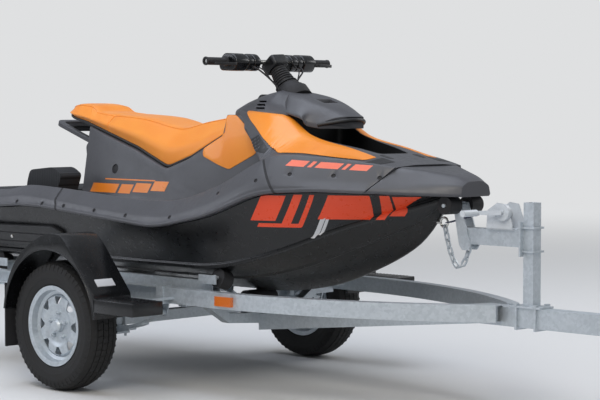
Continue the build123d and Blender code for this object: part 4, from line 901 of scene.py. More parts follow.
def floor_ring(x):
    """The footwells' floor across at x."""
    half, top = inner_edge(x) - edge_gap, sheer(x) + floor_skin
    return [(x, -half, top - 10), (x, -half, top), (x, half, top), (x, half, top - 10)]


floor_aft_x, floor_step, floor_rings = -1315, 30, 74
floor_mesh = skin("floor", [floor_ring(floor_aft_x + floor_step * k) for k in range(floor_rings)])
platform_outline = rounded([(-1290, -430), (-1290, 430), (-700, 430), (-700, -430)], [70, 70, 30, 30], 8)
platform_mesh = edge_softened(prism(platform_outline, 770, platform_top, "z"), 10, 4, 40)
deck_mesh = edge_softened(joined("floor", floor_mesh, platform_mesh), 1.5, 2, 60)
piece("deck_floor", deck_mesh, "deck_plastic", hides=["deck"])

# Front deck between the gunwales, with its shoulders, its flat for the cowl and the open space ahead of it
# x, shoulder z, top y, top z
front_rows = [
    (380, 862, 172, 1268), (430, 870, 180, 1265), (660, 925, 205, 1252), (800, 1005, 205, 1236),
    (950, 1062, 200, 1150), (1200, 1058, 185, 1094), (1400, 1036, 120, 1048), (1540, 1012, 70, 1022),
]
well_front_x, well_foot_z = 700, 700


def front_ring(x, shoulder_z, top_y, top):
    """The front deck across at x."""
    shoulder_y = inner_edge(x) - edge_gap
    foot_z = well_foot_z if x < well_front_x else sheer(x) + 4
    half = [(shoulder_y, foot_z), (shoulder_y, shoulder_z), (top_y, top)]
    return whole_ring(x, half, [0.5, 8, 26], 6)


front_mesh = aft_of(in_triangles(lofted("front", front_ring, front_rows, 18)), nose_seam)
beyond_y = 700  # further out than any piece of the deck
edge_line = [(730, 980), (708, 1076), (598, 1204), (500, 1262)]
edge_cut = prism([(300, 1400), (300, 600), (730, 600)] + edge_line + [(500, 1400)], -beyond_y, beyond_y)
cover_cut = prism([(400, 1270), (560, 1258), (790, 1240), (790, 1450), (400, 1450)], -beyond_y, beyond_y)
well_cut = prism([(-200, 600), (700, 600), (700, 700), (860, 900), (905, 1035), (785, 1087), (500, 1257),
                  (500, 1400), (-200, 1400)], -beyond_y, -262)


def void_plan(aft, middle, front, wide, narrow, bends):
    """The plan of the open space ahead of the cowl: straight sides that draw in to a narrower front."""
    half = [(aft, -wide), (middle, -wide), (front, -narrow)]
    return rounded(half + [(x, -y) for x, y in reversed(half)], bends, 5)


void_cut = prism(void_plan(800, 1000, 1290, 165, 95, 30), 985, 1500, "z")
front_whole = cut(front_mesh, edge_cut, cover_cut, mirrored(well_cut))
side_outline = [(535, 1300), (830, 1300), (985, 1185), (1300, 1125), (1335, 1048), (1050, 1077), (945, 1076),
                (866, 1101), (775, 1143), (626, 1217), (552, 1262)]


def inset(outline, amount):
    """An outline moved inwards by an amount on every side."""
    points = [Vector(p) for p in outline]
    area = sum(a.x * b.y - b.x * a.y for a, b in zip(points, points[1:] + points[:1]))
    turn = 1 if area > 0 else -1
    out = []
    for i, corner in enumerate(points):
        back = (corner - points[i - 1]).normalized()
        on = (points[(i + 1) % len(points)] - corner).normalized()
        first, second = Vector((-back.y, back.x)) * turn, Vector((-on.y, on.x)) * turn
        middle = (first + second).normalized()
        out.append(tuple(corner + middle * amount / max(0.35, middle.dot(first))))
    return out


def panel_on(target, outline, proud_mm, low_y, high_y, radius, gap=0.0):
    """A cover that follows a mesh inside a side-view outline and stands proud of it."""
    soft = rounded(inset(outline, gap) if gap else outline, radius, 5)
    return swollen(cut(target, prism(soft, low_y, high_y), keep="INTERSECT"), proud_mm)


side_bend, side_proud, side_gap = 16, 2.2, 2.5
side_cover = panel_on(front_whole, side_outline, side_proud, -beyond_y, -166, side_bend, side_gap)
side_cutter = prism(rounded(side_outline, side_bend, 5), -beyond_y, -167)
front_mesh = cut(front_whole, void_cut, mirrored(side_cutter))
liner_mesh = cut(prism(void_plan(804, 1000, 1286, 163, 93, 28), 984, 1290, "z"),
                 prism(void_plan(808, 999, 1282, 159, 90, 25), 988, 1300, "z"))
piece("storage_liner", cut(liner_mesh, front_whole, keep="INTERSECT"), "black_trim", sharp=40)
piece("front_deck", edge_softened(front_mesh, 2.5, 3, 48), "deck_plastic")
side_cover = mirrored(edge_softened(side_cover, 2.2, 3, 48))
piece("orange_side_covers", side_cover, "orange_panel", hides=["side_panels"])

knee_outline = [(304, 1048), (409, 1012), (485, 992), (640, 1064), (654, 1090), (622, 1136), (556, 1200),
                (500, 1239), (436, 1239), (436, 1158), (360, 1122), (304, 1090), (296, 1066)]
knee_bend, knee_proud, knee_gap, knee_beyond_y = 14, 2.0, 2.0, 500
knee_cover = panel_on(pedestal_mesh, knee_outline, knee_proud, -knee_beyond_y, -150, knee_bend, knee_gap)
knee_cutter = prism(rounded(knee_outline, knee_bend, 5), -knee_beyond_y, -151)
cap_place, cap_radius, cap_depth = (-332, 976), 24, 5
pedestal_mesh = cut(pedestal_mesh, mirrored(knee_cutter))
pedestal_mesh, cap_mesh = drill(pedestal_mesh, [cap_place], cap_radius, cap_depth, "cap", 32)
piece("pedestal", mirrored_half(edge_softened(pedestal_mesh, 2, 2, 50)), "deck_plastic")
piece("pedestal_caps", mirrored(edge_softened(cap_mesh, 1.2, 2, 50)), "black_rubber")
knee_cover = mirrored(edge_softened(knee_cover, 2.0, 3, 48))
piece("orange_knee_covers", knee_cover, "orange_panel", hides=["knee_panels"])

# Cowl and deflector: they meet at a seam that leans, and the deflector's front is an arc seen from above
hood_front_x = 790
deflector_front_x = 1062
# x, foot y, top y, top z
hood_rows = [(430, 138, 84, 1276), (474, 160, 90, 1299), (520, 178, 95, 1314), (580, 188, 98, 1332),
             (640, 190, 100, 1344), (700, 189, 100, 1350), (hood_front_x, 180, 95, 1338)]
# x, side y, foot z, side z, top y, top z
deflector_rows = [(hood_front_x + 0.5, 180, 1241, 1254, 95, 1338), (845, 184, 1228, 1244, 100, 1324),
                  (900, 184, 1214, 1232, 104, 1300), (1000, 168, 1192, 1212, 100, 1262),
                  (deflector_front_x, 142, 1180, 1200, 88, 1232)]
front_bow = 118
bow_half_width = 150
lip_half_width = 141
bow_from_x = 860
seam_from_x, seam_to_x = 640, 1010
seam_foot_z, seam_pivot_z = 1215, 1268
seam_slope = 0.8


def blend_in(value, low, high):
    """A share that rises smoothly from 0 at low to 1 at high."""
    share = min(max((value - low) / (high - low), 0.0), 1.0)
    return share * share * (3 - 2 * share)


def seam_lean(spot):
    """A point moved so that the seam between cowl and deflector leans back at its top."""
    x, y, z = spot
    share = blend_in(x, seam_from_x, hood_front_x) * (1 - blend_in(x, hood_front_x, seam_to_x))
    return (x + share * (seam_pivot_z - max(z, seam_foot_z)) * seam_slope, y, z)


def split_up(loop, parts):
    """The loop with each of its sides in several parts."""
    return [tuple(Vector(a).lerp(Vector(b), k / parts)) for a, b in zip(loop, loop[1:] + loop[:1])
            for k in range(parts)]


def hood_ring(x, base_y, top_y, top):
    """The cowl across at x."""
    foot = 1252
    shoulder = ((base_y * 2 + top_y) / 3 + 8, foot + (top - foot) * 0.46)
    half = [(base_y, foot - 14), (base_y - 1, foot), shoulder, (top_y, top)]
    return [seam_lean(spot) for spot in whole_ring(x, half, [3, 8, 50, 40], 6)]


hood_mesh = lofted("hood", hood_ring, hood_rows, 14)
vent_cuts = []
for k, x in enumerate((612, 608, 604)):
    low = 1266 + 15 * k
    vent_cuts.append(prism([(x, low), (x + 58, low), (x + 51, low + 8), (x - 7, low + 8)], -300, -100))
hood_mesh = edge_softened(cut(hood_mesh, mirrored(joined("vents", *vent_cuts))), 3, 3, 45)


def deflector_ring(x, side_y, base, side_z, top_y, top):
    """The deflector across at x, its middle ahead of its sides where it nears the front."""
    half = [(side_y - 4, base), (side_y, base + 3), (side_y, side_z), (top_y, top)]
    loop = split_up(whole_ring(x, half, [2, 3, 8, 30], 4), 5)
    bow = front_bow * blend_in(x, bow_from_x, deflector_front_x)
    return [seam_lean((px - bow * (py / bow_half_width) ** 2, py, pz)) for px, py, pz in loop]


deflector_mesh = lofted("deflector", deflector_ring, deflector_rows, 16)
under = prism([(700, 1100), (700, 1296), (900, 1262), (985, 1214), (1010, 1100)], -100, 100)
slot_cut = prism([(856, 1150), (856, 1400), (910, 1400), (910, 1150)], -46, 46)
deflector_mesh = edge_softened(cut(deflector_mesh, under, slot_cut), 3, 3, 40)
piece("wind_deflector", deflector_mesh, "black_trim", hides=["deflector"], finish=deck_plastic)
lip_spots = []
for k in range(-12, 13):
    lip_y = lip_half_width * k / 12
    lip_x = deflector_front_x - front_bow * (lip_y / bow_half_width) ** 2
    lip_spots.append((lip_x + 1, lip_y, 1196 + 22 * (1 - (abs(lip_y) / lip_half_width) ** 2)))
piece("deflector_lip", tube("lip", lip_spots, 9, 16), "black_trim", sharp=40)

# Graphics: thin coloured films that follow the surface under them
film_proud = 0.6


def film(name, target, outlines, finish, low_y, high_y):
    """Flat shapes seen from the side, laid on a mesh on both sides as a thin film."""
    sheets = [swollen(cut(target, prism(shape, low_y, high_y), keep="INTERSECT"), film_proud)
              for shape in outlines]
    piece(name, mirrored(joined(name, *sheets)), "orange_panel", sharp=30, finish=finish)


def slashes(lean, rows):
    """Leaning stripes, by two x positions at the foot, low and high edge, and how far the head draws in."""
    shapes = []
    for x0, x1, low, high, taper in rows:
        run = (high - low) * lean
        shapes.append([(x0, low), (x1, low), (x1 + run - taper, high), (x0 + run + taper, high)])
    return shapes


def bow_bar(x0, x1):
    """A leaning bar on the upper face of the bow gunwale, whose edges fall a little towards the bow."""
    from_x, low, high, lean = 1035, 1027, 1051, 16
    return [(x0, low - 0.056 * (x0 - from_x)), (x1, low - 0.056 * (x1 - from_x)),
            (x1 + lean, high - 0.06 * (x1 - from_x)), (x0 + lean, high - 0.06 * (x0 - from_x))]


hull_red = moulded("red_orange_graphic_film", "#e2481f", "#dd4319", 0.3, 2.0, 0.01, 0)
salmon_film = moulded("salmon_graphic_film", "#ee7c62", "#ea745b", 0.35, 2.0, 0.01, 0)
pale_film = moulded("pale_grey_graphic_film", "#c4c6c9", "#bcbec2", 0.35, 2.0, 0.01, 0)
orange_film = moulded("orange_graphic_film", "#ea8526", "#e67f20", 0.32, 2.0, 0.01, 0)

hull_lean, pedestal_lean = 0.75, 0.5
hull_slashes = slashes(hull_lean, [
    (880, 985, 790, 900, 0), (1005, 1040, 775, 905, 0), (1062, 1080, 765, 905, 0), (1150, 1330, 800, 905, 12),
    (1352, 1382, 800, 905, 0), (1402, 1480, 816, 900, 0), (900, 1075, 762, 778, 0)])
pale_slashes = slashes(hull_lean, [(1096, 1112, 716, 880, 0), (1126, 1136, 730, 900, 0)])
pedestal_bars = slashes(pedestal_lean, [
    (-520, -300, 862, 905, 0), (-280, -190, 862, 905, 0), (-170, -60, 870, 913, 0), (-40, 60, 880, 925, 0),
    (-400, -20, 925, 930, 0)])
bow_bars = [bow_bar(*ends) for ends in ((1042, 1120), (1136, 1152), (1168, 1262), (1278, 1292), (1308, 1376))]
film("hull_red_slashes", hull_mesh, hull_slashes, hull_red, -640, -120)
film("hull_pale_slashes", hull_mesh, pale_slashes, pale_film, -640, -120)
film("bow_salmon_bars", rail_mesh, bow_bars, salmon_film, -600, -60)
film("pedestal_orange_bars", pedestal_mesh, pedestal_bars, orange_film, -400, -120)

# Tyres: a carcass with raised rings on its walls, and a tread of five ribs of blocks
wheel_y = -790
wheel_z = 292.5
tread_radius = 292.4
block_depth = 9
block_gap = 2.6 / 290  # as an angle at the tread
lug_count = 56
lug_half_angle = 0.018


def tyre_carcass():
    """The tyre's walls with their raised rings, and the crown under the tread."""
    wall = [(61, 166), (61, 178), (66, 186), (70.5, 190), (72, 196), (75, 202), (76.5, 210), (77.5, 214),
            (79.2, 216), (79.2, 224), (80, 228), (79, 240), (79.6, 242), (79, 246), (77, 258), (74, 268),
            (69, 277), (62, 281.5)]
    line = wall + [(56, 283.5), (40, 284.8), (20, 285.4), (0, 285.6)]
    profile = [(wheel_y + y, r) for y, r in line] + [(wheel_y - y, r) for y, r in reversed(line[:-1])]
    return turned("tyre", profile, (0, 0, wheel_z), "y", 120)


def tread_height(y):
    """The tread's radius at y from the tyre's middle: a shallow crown that falls faster at the shoulders."""
    shoulder_y = 44
    fall = 2.88e-7 * y ** 4 if abs(y) > shoulder_y else 0
    return tread_radius - 0.0016 * y * y - fall


def tread_blocks():
    """Blocks in five ribs round the crown, the outer ones running down over the shoulders."""
    corners, faces = [], []
    rim = [0, 1, 2, 5, 8, 7, 6, 3]
    # low y, high y, blocks in the round, lean
    ribs = [(-73, -46, 56, 0.35), (-41, -17, 60, 0.5), (-12.5, 12.5, 60, 0.0), (17, 41, 60, -0.5),
            (46, 73, 56, -0.35)]
    for low, high, count, lean in ribs:
        pitch = 2 * pi / count
        offset = 0.35 * pitch if low > 0 else 0
        for k in range(count):
            base = len(corners)
            for level in (0, 1):
                for y in (low, (low + high) / 2, high):
                    radius = tread_height(y) - (0 if level else block_depth)
                    shift = (y - low) / 100 * lean * pitch * 2.5
                    taper = block_gap * (0.5 if level else 0.2)
                    for angle in (k * pitch + taper + shift + offset, (k + 0.5) * pitch + shift + offset,
                                  (k + 1) * pitch - taper + shift + offset):
                        corners.append((radius * cos(angle), wheel_y + y, wheel_z + radius * sin(angle)))
            for a in (0, 1):
                for b in (0, 1):
                    i = base + 9 + 3 * a + b
                    faces.append((i, i + 1, i + 4, i + 3))
                    i -= 9
                    faces.append((i, i + 3, i + 4, i + 1))
            for m in range(8):
                p, q = base + rim[m], base + rim[(m + 1) % 8]
                faces.append((p, q, q + 9, p + 9))
    return mesh_of("tread", corners, faces)


def shoulder_lugs(side):
    """Short ribs down each shoulder, moulded proud of the wall."""
    outline = [(73.5, 279), (77.8, 262), (79.6, 250), (77.5, 250), (70, 274)]
    n = len(outline)
    faces = [tuple(range(n)), tuple(range(n, 2 * n))]
    faces += [(i, (i + 1) % n, n + (i + 1) % n, n + i) for i in range(n)]
    lugs = []
    for k in range(lug_count):
        middle = 2 * pi * (k + 0.5) / lug_count
        corners = []
        for angle in (middle - lug_half_angle, middle + lug_half_angle):
            corners += [(r * cos(angle), wheel_y + side * out, wheel_z + r * sin(angle))
                        for out, r in outline]
        lugs.append(mesh_of("lug", corners, faces))
    return joined("lugs", *lugs)


tyre_whole = joined("tyre", tyre_carcass(), tread_blocks(), shoulder_lugs(1), shoulder_lugs(-1))
other_tyre = other_side(tyre_whole)
piece("tyre_starboard", tyre_whole, "tyre_rubber", "wheel_right", ["tyre_right"], sharp=28)
piece("tyre_port", other_tyre, "tyre_rubber", "wheel_left", ["tyre_left"], sharp=28)

# Wheels: each disc has eight windows, wide outside and narrow towards the hub
window_count = 8
# out from the wheel's middle, and to the side
window_corners = [(97, -7), (97, 7), (126, 25), (131, 20), (132, 0), (131, -20), (126, -25)]


def windowed(node, side):
    """The wheel of one side with the windows of its disc cut through."""
    low, high = sorted((side * (abs(wheel_y) - 80), side * (abs(wheel_y) + 80)))
    cutters = []
    for k in range(window_count):
        angle = 2 * pi * k / window_count
        outline = [(r * cos(angle) - t * sin(angle), wheel_z + r * sin(angle) + t * cos(angle))
                   for r, t in window_corners]
        cutters.append(prism(outline, low, high))
    return cut(closed(frame["nodes"][node].data.copy()), joined("windows", *cutters))


piece("wheel_starboard", windowed("wheel_right", -1), "galvanised_steel", "wheel_right", ["wheel_right"])
piece("wheel_port", windowed("wheel_left", 1), "galvanised_steel", "wheel_left", ["wheel_left"])

# Cowl, with the skirt that stands on it, and the ribbed boot that turns with the bars
piece("hood_cover", hood_mesh, "deck_plastic", hides=["hood_cowl"])
column_foot, column_head = Vector((642, 0, 1352)), Vector((530, 0, 1488))
column_turn = (column_head - column_foot).normalized().to_track_quat("Z", "Y").to_matrix().to_4x4()


def about_column(mesh):
    """A mesh drawn upright about the column's foot, leaned to the steering axis."""
    return set_down(mesh, column_foot, column_turn)


skirt_profile = [(-70, 0), (-70, 82), (-22, 78), (-20, 70), (-8, 68), (-6, 61), (6, 59), (8, 53), (24, 50),
                 (24, 0)]
skirt_mesh = about_column(turned("skirt", skirt_profile, (0, 0, 0), "z", 64))
piece("column_skirt", edge_softened(skirt_mesh, 1.5, 2, 40), "black_rubber")
boot_profile = [(26, 0), (26, 54), (30, 54), (34, 44), (42, 40)]
for k in range(6):
    boot_profile += [(46 + 13 * k, 47 - 2 * k), (51 + 13 * k, 47 - 2 * k), (54 + 13 * k, 38 - 1.6 * k)]
boot_profile += [(126, 32), (126, 0)]
boot_mesh = about_column(turned("boot", boot_profile, (0, 0, 0), "z", 48))
piece("column_boot", boot_mesh, "black_rubber", "steering")

# Control pods, levers, grips and the clamp between them
pod_outline = [(452, 1440), (440, 1478), (478, 1520), (540, 1516), (572, 1482), (545, 1436)]
button_z = 1476


def pod_block(low_y, high_y, shrink, soft):
    """One of the blocks that make up a pod, a little smaller than its outline."""
    return edge_softened(prism(rounded(inset(pod_outline, shrink), 16, 5), low_y, high_y), soft, 4, 30)


pod_blocks = [pod_block(*row) for row in ((-256, -176, 0.5, 9), (-174, -140, 4, 6), (-138, -98, 1.5, 8))]
pod_mesh = joined("pod", *pod_blocks)
piece("pod_housings", mirrored(pod_mesh), "black_trim", "steering", ["control_pods"], 40, guard_plastic)
button_profile = [(440, 0), (440, 10), (436, 12), (433, 11), (431, 7), (430.5, 0)]
buttons = [turned("button", button_profile, (0, y, button_z), "x", 24) for y in (-232, -202)]
piece("pod_buttons", joined("buttons", *buttons), "red_lens", "steering")
port_profile = [(440, 0), (440, 13), (435, 14), (431, 12), (430, 0)]
port_button = turned("button", port_profile, (0, 214, button_z), "x", 24)
piece("pod_port_button", port_button, "black_rubber", "steering")
lever_outline = rounded([(548, -236), (575, -262), (569, -330), (552, -374), (541, -369), (553, -326),
                         (557, -268), (544, -244)], [4, 10, 20, 6, 6, 20, 10, 4], 5)
lever_mesh = edge_softened(prism(lever_outline, 1461, 1475, "z"), 4, 4, 30)
piece("lever_blades", mirrored(lever_mesh), "black_trim", "steering", sharp=50)
grip_profile = [(-392, 11.4), (-392, 17), (-390.5, 19.4), (-386, 19.6), (-384, 17.6)]
grip_rings, grip_pitch = 13, 8.2
for k in range(grip_rings):
    along = grip_pitch * k
    grip_profile += [(-382 + along, 16.4), (-380.5 + along, 17.6), (-377 + along, 17.6),
                     (-375.5 + along, 16.4)]
grip_profile += [(-275, 17), (-273, 23.5), (-268, 24), (-266, 22), (-264, 18), (-264, 11.4)]
grip_mesh = turned("grip", grip_profile, (505, 0, 1480), "y", 48)
piece("grip_sleeves", mirrored(grip_mesh), "black_rubber", "steering", ["grips"], sharp=35)
pad_outline = rounded([(-42, -52), (42, -46), (42, 46), (-42, 52)], 14, 5)
pad_cover = edge_softened(about_column(prism(pad_outline, 124, 176, "z")), 8, 4, 30)
piece("bar_centre_cover", pad_cover, "black_trim", "steering", sharp=50)
clamp_bolt = [(175, 0), (175, 7), (180, 6.4), (180, 3), (178, 3), (178, 0)]
pad_bolts = [about_column(turned("bolt", clamp_bolt, (x, y, 0), "z", 20))
             for x in (-24, 24) for y in (-30, 30)]
piece("clamp_bolts", joined("bolts", *pad_bolts), "stainless_steel", "steering")


def curve_through(points, count):
    """Points on a smooth curve through a few guides, so many from each guide to the next."""
    guides = [Vector(p) for p in points]
    line = []
    for i in range(len(guides) - 1):
        a, b = guides[max(i - 1, 0)], guides[i]
        c, d = guides[i + 1], guides[min(i + 2, len(guides) - 1)]
        for k in range(count):
            t = k / count
            line.append(0.5 * ((2 * b) + (c - a) * t + (2 * a - 5 * b + 4 * c - d) * t * t
                               + (3 * b - a - 3 * c + d) * t ** 3))
    return [tuple(p) for p in line] + [tuple(guides[-1])]


# Cables from the pods down into the cowl, two on each side: how far out they start, and their radius
cables = []
for side in (-1, 1):
    for out, radius in ((150, 4.0), (122, 3.0)):
        route = [(548, side * out, 1462), (592, side * out * 0.92, 1440), (612, side * 84, 1395),
                 (640, side * 62, 1352), (646, side * 58, 1330)]
        cables.append(tube("cable", curve_through(route, 12), radius, 12))
cable_piece = piece("control_cables", joined("cables", *cables), "black_rubber", None)
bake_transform(cable_piece)

# Grab handle behind the seat, with its ribbed pad: drawn flat and tilted down to the stern
handle_place = (-565, 0, 1078)
handle_turn = Matrix.Rotation(atan2(120, 385), 4, "Y")
handle_plan = rounded([(-44, -121), (-44, 121), (-410, 104), (-410, -104)], [18, 18, 46, 46], 8)
finger_hole = rounded([(-384, -70), (-384, 70), (-332, 84), (-332, -84)], [22, 22, 16, 16], 6)
front_hole = rounded([(-290, -88), (-290, 88), (-80, 92), (-80, -92)], 24, 6)
handle_holes = [prism(hole, -40, 40, "z") for hole in (finger_hole, front_hole)]
handle_mesh = cut(prism(handle_plan, -13, 13, "z"), *handle_holes)
handle_mesh = set_down(edge_softened(handle_mesh, 8, 4, 40), handle_place, handle_turn)
leg_line = rounded([(-660, 858), (-688, 1085), (-655, 1108), (-615, 1083), (-615, 858)],
                   [2, 20, 14, 14, 2], 5)
leg_mesh = edge_softened(prism(leg_line, -120, -98), 5, 3, 40)
handle_mesh = joined("handle", handle_mesh, mirrored(leg_mesh))
piece("grab_handle_frame", handle_mesh, "deck_plastic", hides=["grab_handle"], sharp=50)
rib_count, rib_pitch, rib_width = 5, 8, 6
pad_ribs = []
for k in range(rib_count):
    x = -326 + rib_pitch * k
    rib = edge_softened(prism(rounded(oblong(x, x + rib_width, -84, 84), 3, 3), 10, 16, "z"), 1.5, 2, 40)
    pad_ribs.append(set_down(rib, handle_place, handle_turn))
piece("handle_ribs", joined("ribs", *pad_ribs), "black_rubber")

# Rear pad and the step wedges, cut with narrow grooves
rear_line = rounded([(-611, 1040), (-650, 1080), (-698, 1190), (-611, 1175)], [3, 26, 16, 4], 6)
piece("rear_pad", edge_softened(prism(rear_line, -84, 84), 9, 4, 40), "traction_foam", sharp=50)
wedge_line = rounded([(-770, 859), (-770, 900), (-745, 968), (-560, 985), (-492, 950), (-530, 859)],
                     [2, 16, 26, 30, 20, 2], 6)
wedge_mesh = edge_softened(prism(wedge_line, -427, -301), 9, 4, 40)
groove_count, groove_pitch, groove_width = 7, 26, 7
wedge_grooves = []
for k in range(groove_count):
    x = -740 + groove_pitch * k
    wedge_grooves.append(prism(oblong(x, x + groove_width, 945 + 2.2 * k, 1010), -412, -316))
wedge_mesh = mirrored(cut(wedge_mesh, joined("grooves", *wedge_grooves)))
piece("step_wedges", wedge_mesh, "traction_foam", hides=["deck_pads"], sharp=50)

# Mats in the footwells and on the platform
mat_sunk, mat_proud = 1, 5


def floor_mat(x0, x1, y0, y1):
    """A thin foam sheet that follows the footwell's floor."""
    rings = []
    count = round((x1 - x0) / 20)
    for k in range(count + 1):
        x = x0 + (x1 - x0) * k / count
        top = sheer(x) + floor_skin
        low, high = top - mat_sunk, top + mat_proud
        rings.append(ring(x, [(y0, low), (y0, high), (y1, high), (y1, low)], [1, 3, 3, 1], 2))
    return skin("mat", rings)


well_mats = mirrored(edge_softened(floor_mat(-480, 640, -470, -322), 2, 2, 50))
piece("footwell_mats", well_mats, "traction_foam", sharp=50)
mat_outline = rounded([(-1270, -400), (-1270, 400), (-790, 400), (-790, 300), (-720, 300), (-720, -300),
                       (-790, -300), (-790, -400)], [60, 60] + [14] * 6, 6)
platform_mat = prism(mat_outline, platform_top - mat_sunk, platform_top + mat_proud, "z")
piece("platform_mat", edge_softened(platform_mat, 2, 2, 40), "traction_foam", sharp=50)

# Mudguards: a rounded sheet folded over the wheel, with a skirt, a step with ridges, and a light lip
guard_outer_y, guard_inner_y, guard_thick = -905, -698, 5
arch_x, arch_z, arch_radius = 20, 316, 324
lip_radius = arch_radius + 1
guard_line = [(352, 383), (352, 455), (160, 670), (110, 712), (0, 712), (-150, 640), (-236, 560),
              (-292, 455), (-312, 352), (-312, 300), (352, 300)]
guard_soft = rounded(guard_line, [2, 20, 30, 26, 50, 80, 70, 60, 3, 1, 1], 6)
inner_soft = [(x, z if z > 310 else 280) for x, z in inset(guard_soft, guard_thick)]
arch = prism(round_outline(arch_x, arch_z, arch_radius, 128), -910, -690)
guard_mesh = cut(prism(guard_soft, guard_outer_y, guard_inner_y),
                 prism(inner_soft, guard_outer_y + guard_thick, guard_inner_y - guard_thick), arch,
                 prism([(-400, 100), (-400, 352), (400, 352), (400, 100)], -1000, -600))
step_mesh = cut(prism(oblong(345, 610, 383, 441), guard_outer_y, -735),
                prism(oblong(300, 605, 300, 436), guard_outer_y + guard_thick, -740), arch)
ridge_count, ridge_pitch, ridge_width = 10, 22, 8
ridges = []
for k in range(ridge_count):
    x = 372 + ridge_pitch * k
    ridges.append(edge_softened(prism(oblong(x, x + ridge_width, 440.5, 443.5), -892, -748), 1, 2, 40))
guard_parts = [edge_softened(mesh, 3.5, 3, 40) for mesh in (guard_mesh, step_mesh)]
guard_mesh = joined("guard", *guard_parts, *ridges)
other_guard = other_side(guard_mesh)
piece("guard_starboard", guard_mesh, "guard_plastic", hides=["mudguard_right"], sharp=35)
piece("guard_port", other_guard, "guard_plastic", hides=["mudguard_left"], sharp=35)
lip_angles = [radians(6.5 + 167 * k / 60) for k in range(61)]
lip_arc = [(arch_x + lip_radius * cos(angle), -903, arch_z + lip_radius * sin(angle)) for angle in lip_angles]
piece("guard_lips", mirrored(tube("lip", lip_arc, 4.2, 10)), "guard_plastic")

# Small fittings: plates of six-sided holes by the cowl, trims at the covers' ends, deck vents and reflectors
hexes = []
for row in range(4):
    for column in range(3):
        x, z = 728 + 17 * row + 11 * column, 1124 - 14 * row + 9 * column
        hexes.append(prism(round_outline(x, z, 6, 6, pi / 6), -480, -200))
plate_outline = [(706, 1128), (742, 1152), (800, 1124), (862, 1092), (868, 1074), (800, 1082)]
vent_plate = cut(panel_on(front_whole, plate_outline, 1.4, -480, -262, 5), joined("hexes", *hexes))
piece("hex_vents", mirrored(edge_softened(vent_plate, 0.8, 2, 40)), "black_trim", sharp=40)
trim_outline = [(1330, 1100), (1420, 1072), (1408, 1028), (1352, 1034)]
end_trim = panel_on(front_whole, trim_outline, 1.2, -400, -140, 6)
piece("panel_end_trims", mirrored(edge_softened(end_trim, 1.2, 2, 48)), "black_trim", sharp=40)
slot_outline = rounded([(1300, 92), (1368, 92), (1360, 122), (1306, 122)], 10, 5)
slot_trim = swollen(cut(front_whole, prism(slot_outline, 900, 1200, "z"), keep="INTERSECT"), 1.0)
piece("deck_vents", mirrored(edge_softened(slot_trim, 1.0, 2, 48)), "black_trim", sharp=40)


def guard_spot(share, y, lift):
    """A point on the guard's front slope, some way down it and lifted off it."""
    a, b = Vector((160, 670)), Vector((352, 455))
    spot = a + (b - a) * share
    out = Vector((a.y - b.y, b.x - a.x)).normalized() * lift
    return (spot.x + out.x, y, spot.y + out.y)


reflector_corners = []
for lift in (-1, 4):
    for share, y in ((0.70, -860), (0.70, -760), (0.84, -760), (0.84, -860)):
        reflector_corners.append(guard_spot(share, y, lift))
reflector = mesh_of("reflector", reflector_corners, [(0, 1, 2, 3), (4, 5, 6, 7), (0, 1, 5, 4), (1, 2, 6, 5),
                                                     (2, 3, 7, 6), (3, 0, 4, 7)])
reflector = mirrored(edge_softened(reflector, 2, 3, 40))
piece("guard_reflectors", reflector, "winch_paint", sharp=40, finish=pale_film)

# Gauge behind the cowl, facing the rider
gauge_place = (478, 0, 1276)
gauge_turn = Matrix.Rotation(radians(38), 4, "Y")
gauge_outline = rounded([(-58, -6), (58, -6), (52, 62), (-52, 62)], 14, 5)
gauge = edge_softened(prism(gauge_outline, -16, 0, "x"), 4, 3, 40)
piece("gauge_body", set_down(gauge, gauge_place, gauge_turn), "black_trim", sharp=50)
glass_outline = rounded([(-46, 4), (46, 4), (42, 52), (-42, 52)], 8, 5)
glass = edge_softened(prism(glass_outline, -17.5, -15, "x"), 0.8, 2, 40)
piece("gauge_glass", set_down(glass, gauge_place, gauge_turn), "guard_plastic", sharp=50)


# Floor and light
floor_half = 150
lamp_target = Vector((0, 0, 0.6))
floor_grey, haze_grey, sky_grey = "#d9d9d8", "#dfe0e1", "#e4e8ee"
sky_strength = 0.42
fade_from, fade_to = 3.2, 15.0  # metres from the object's middle
# name, place, size, power, colour
lamps = [
    ("key", (4.5, -6.5, 6.5), 5.0, 380, "#fff8ee"),
    ("sky", (-1.0, -1.0, 8.5), 8.0, 450, "#eaf1ff"),
    ("side", (-6.0, -5.0, 4.0), 4.0, 120, "#eef3ff"),
    ("back", (2.0, 7.0, 4.5), 5.0, 150, "#ffffff"),
]


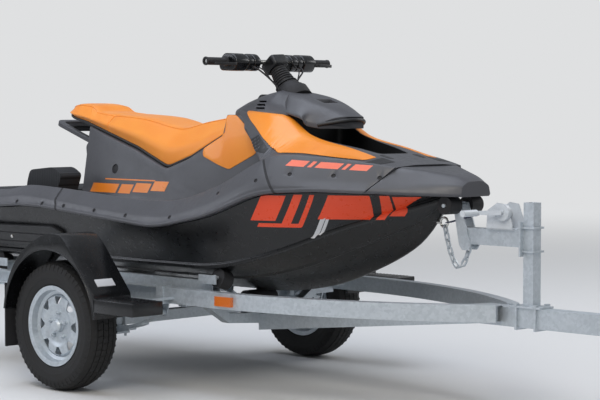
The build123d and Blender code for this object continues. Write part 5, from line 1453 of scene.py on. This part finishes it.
def studio_floor():
    """A pale floor that fades into the sky's own colour, for the camera alone."""
    material, tree, where, shader = start("studio_floor")
    shader.inputs["Base Color"].default_value = colour(floor_grey)
    shader.inputs["Roughness"].default_value = 0.9
    reach = add(tree, "ShaderNodeVectorMath", {"operation": "LENGTH"}, {0: where}).outputs["Value"]
    fade = {"interpolation_type": "SMOOTHSTEP", "From Min": fade_from, "From Max": fade_to}
    away = add(tree, "ShaderNodeMapRange", fade, {"Value": reach})
    haze = add(tree, "ShaderNodeEmission", {"Color": colour(haze_grey), "Strength": 1.0})
    path = add(tree, "ShaderNodeLightPath").outputs["Is Camera Ray"]
    share = add(tree, "ShaderNodeMath", {"operation": "MULTIPLY"}, {0: away.outputs["Result"], 1: path})
    mixed = {0: share.outputs[0], 1: shader.outputs[0], 2: haze.outputs[0]}
    faded = add(tree, "ShaderNodeMixShader", {}, mixed)
    out = [node for node in tree.nodes if node.bl_idname == "ShaderNodeOutputMaterial"][0]
    tree.links.new(faded.outputs[0], out.inputs["Surface"])
    return material


def studio():
    """A floor that meets the sky without an edge, and large soft lamps."""
    floor_mesh = bpy.data.meshes.new("floor")
    corners = [(a, b, 0) for a, b in oblong(-floor_half, floor_half, -floor_half, floor_half)]
    floor_mesh.from_pydata(corners, [], [(0, 1, 2, 3)])
    floor = bpy.data.objects.new("floor", floor_mesh)
    bpy.context.scene.collection.objects.link(floor)
    floor_mesh.materials.append(studio_floor())
    world = bpy.data.worlds.new("studio")
    world.use_nodes = True
    tree = world.node_tree
    tree.nodes.clear()
    path = add(tree, "ShaderNodeLightPath")
    soft = add(tree, "ShaderNodeBackground", {"Color": colour(sky_grey), "Strength": sky_strength})
    seen = add(tree, "ShaderNodeBackground", {"Color": colour(haze_grey), "Strength": 1.0})
    mixed = {0: path.outputs["Is Camera Ray"], 1: soft.outputs[0], 2: seen.outputs[0]}
    both = add(tree, "ShaderNodeMixShader", {}, mixed)
    add(tree, "ShaderNodeOutputWorld", {}, {"Surface": both.outputs[0]})
    bpy.context.scene.world = world
    for name, spot, size, power, tone in lamps:
        data = bpy.data.lights.new(name, "AREA")
        data.shape = "DISK"
        data.size = size
        data.energy = power
        data.color = colour(tone)[:3]
        lamp = bpy.data.objects.new(name, data)
        lamp.location = spot
        lamp.rotation_euler = (lamp_target - Vector(spot)).to_track_quat("-Z", "Y").to_euler()
        bpy.context.scene.collection.objects.link(lamp)


studio()
bpy.context.scene.view_settings.view_transform = "Standard"
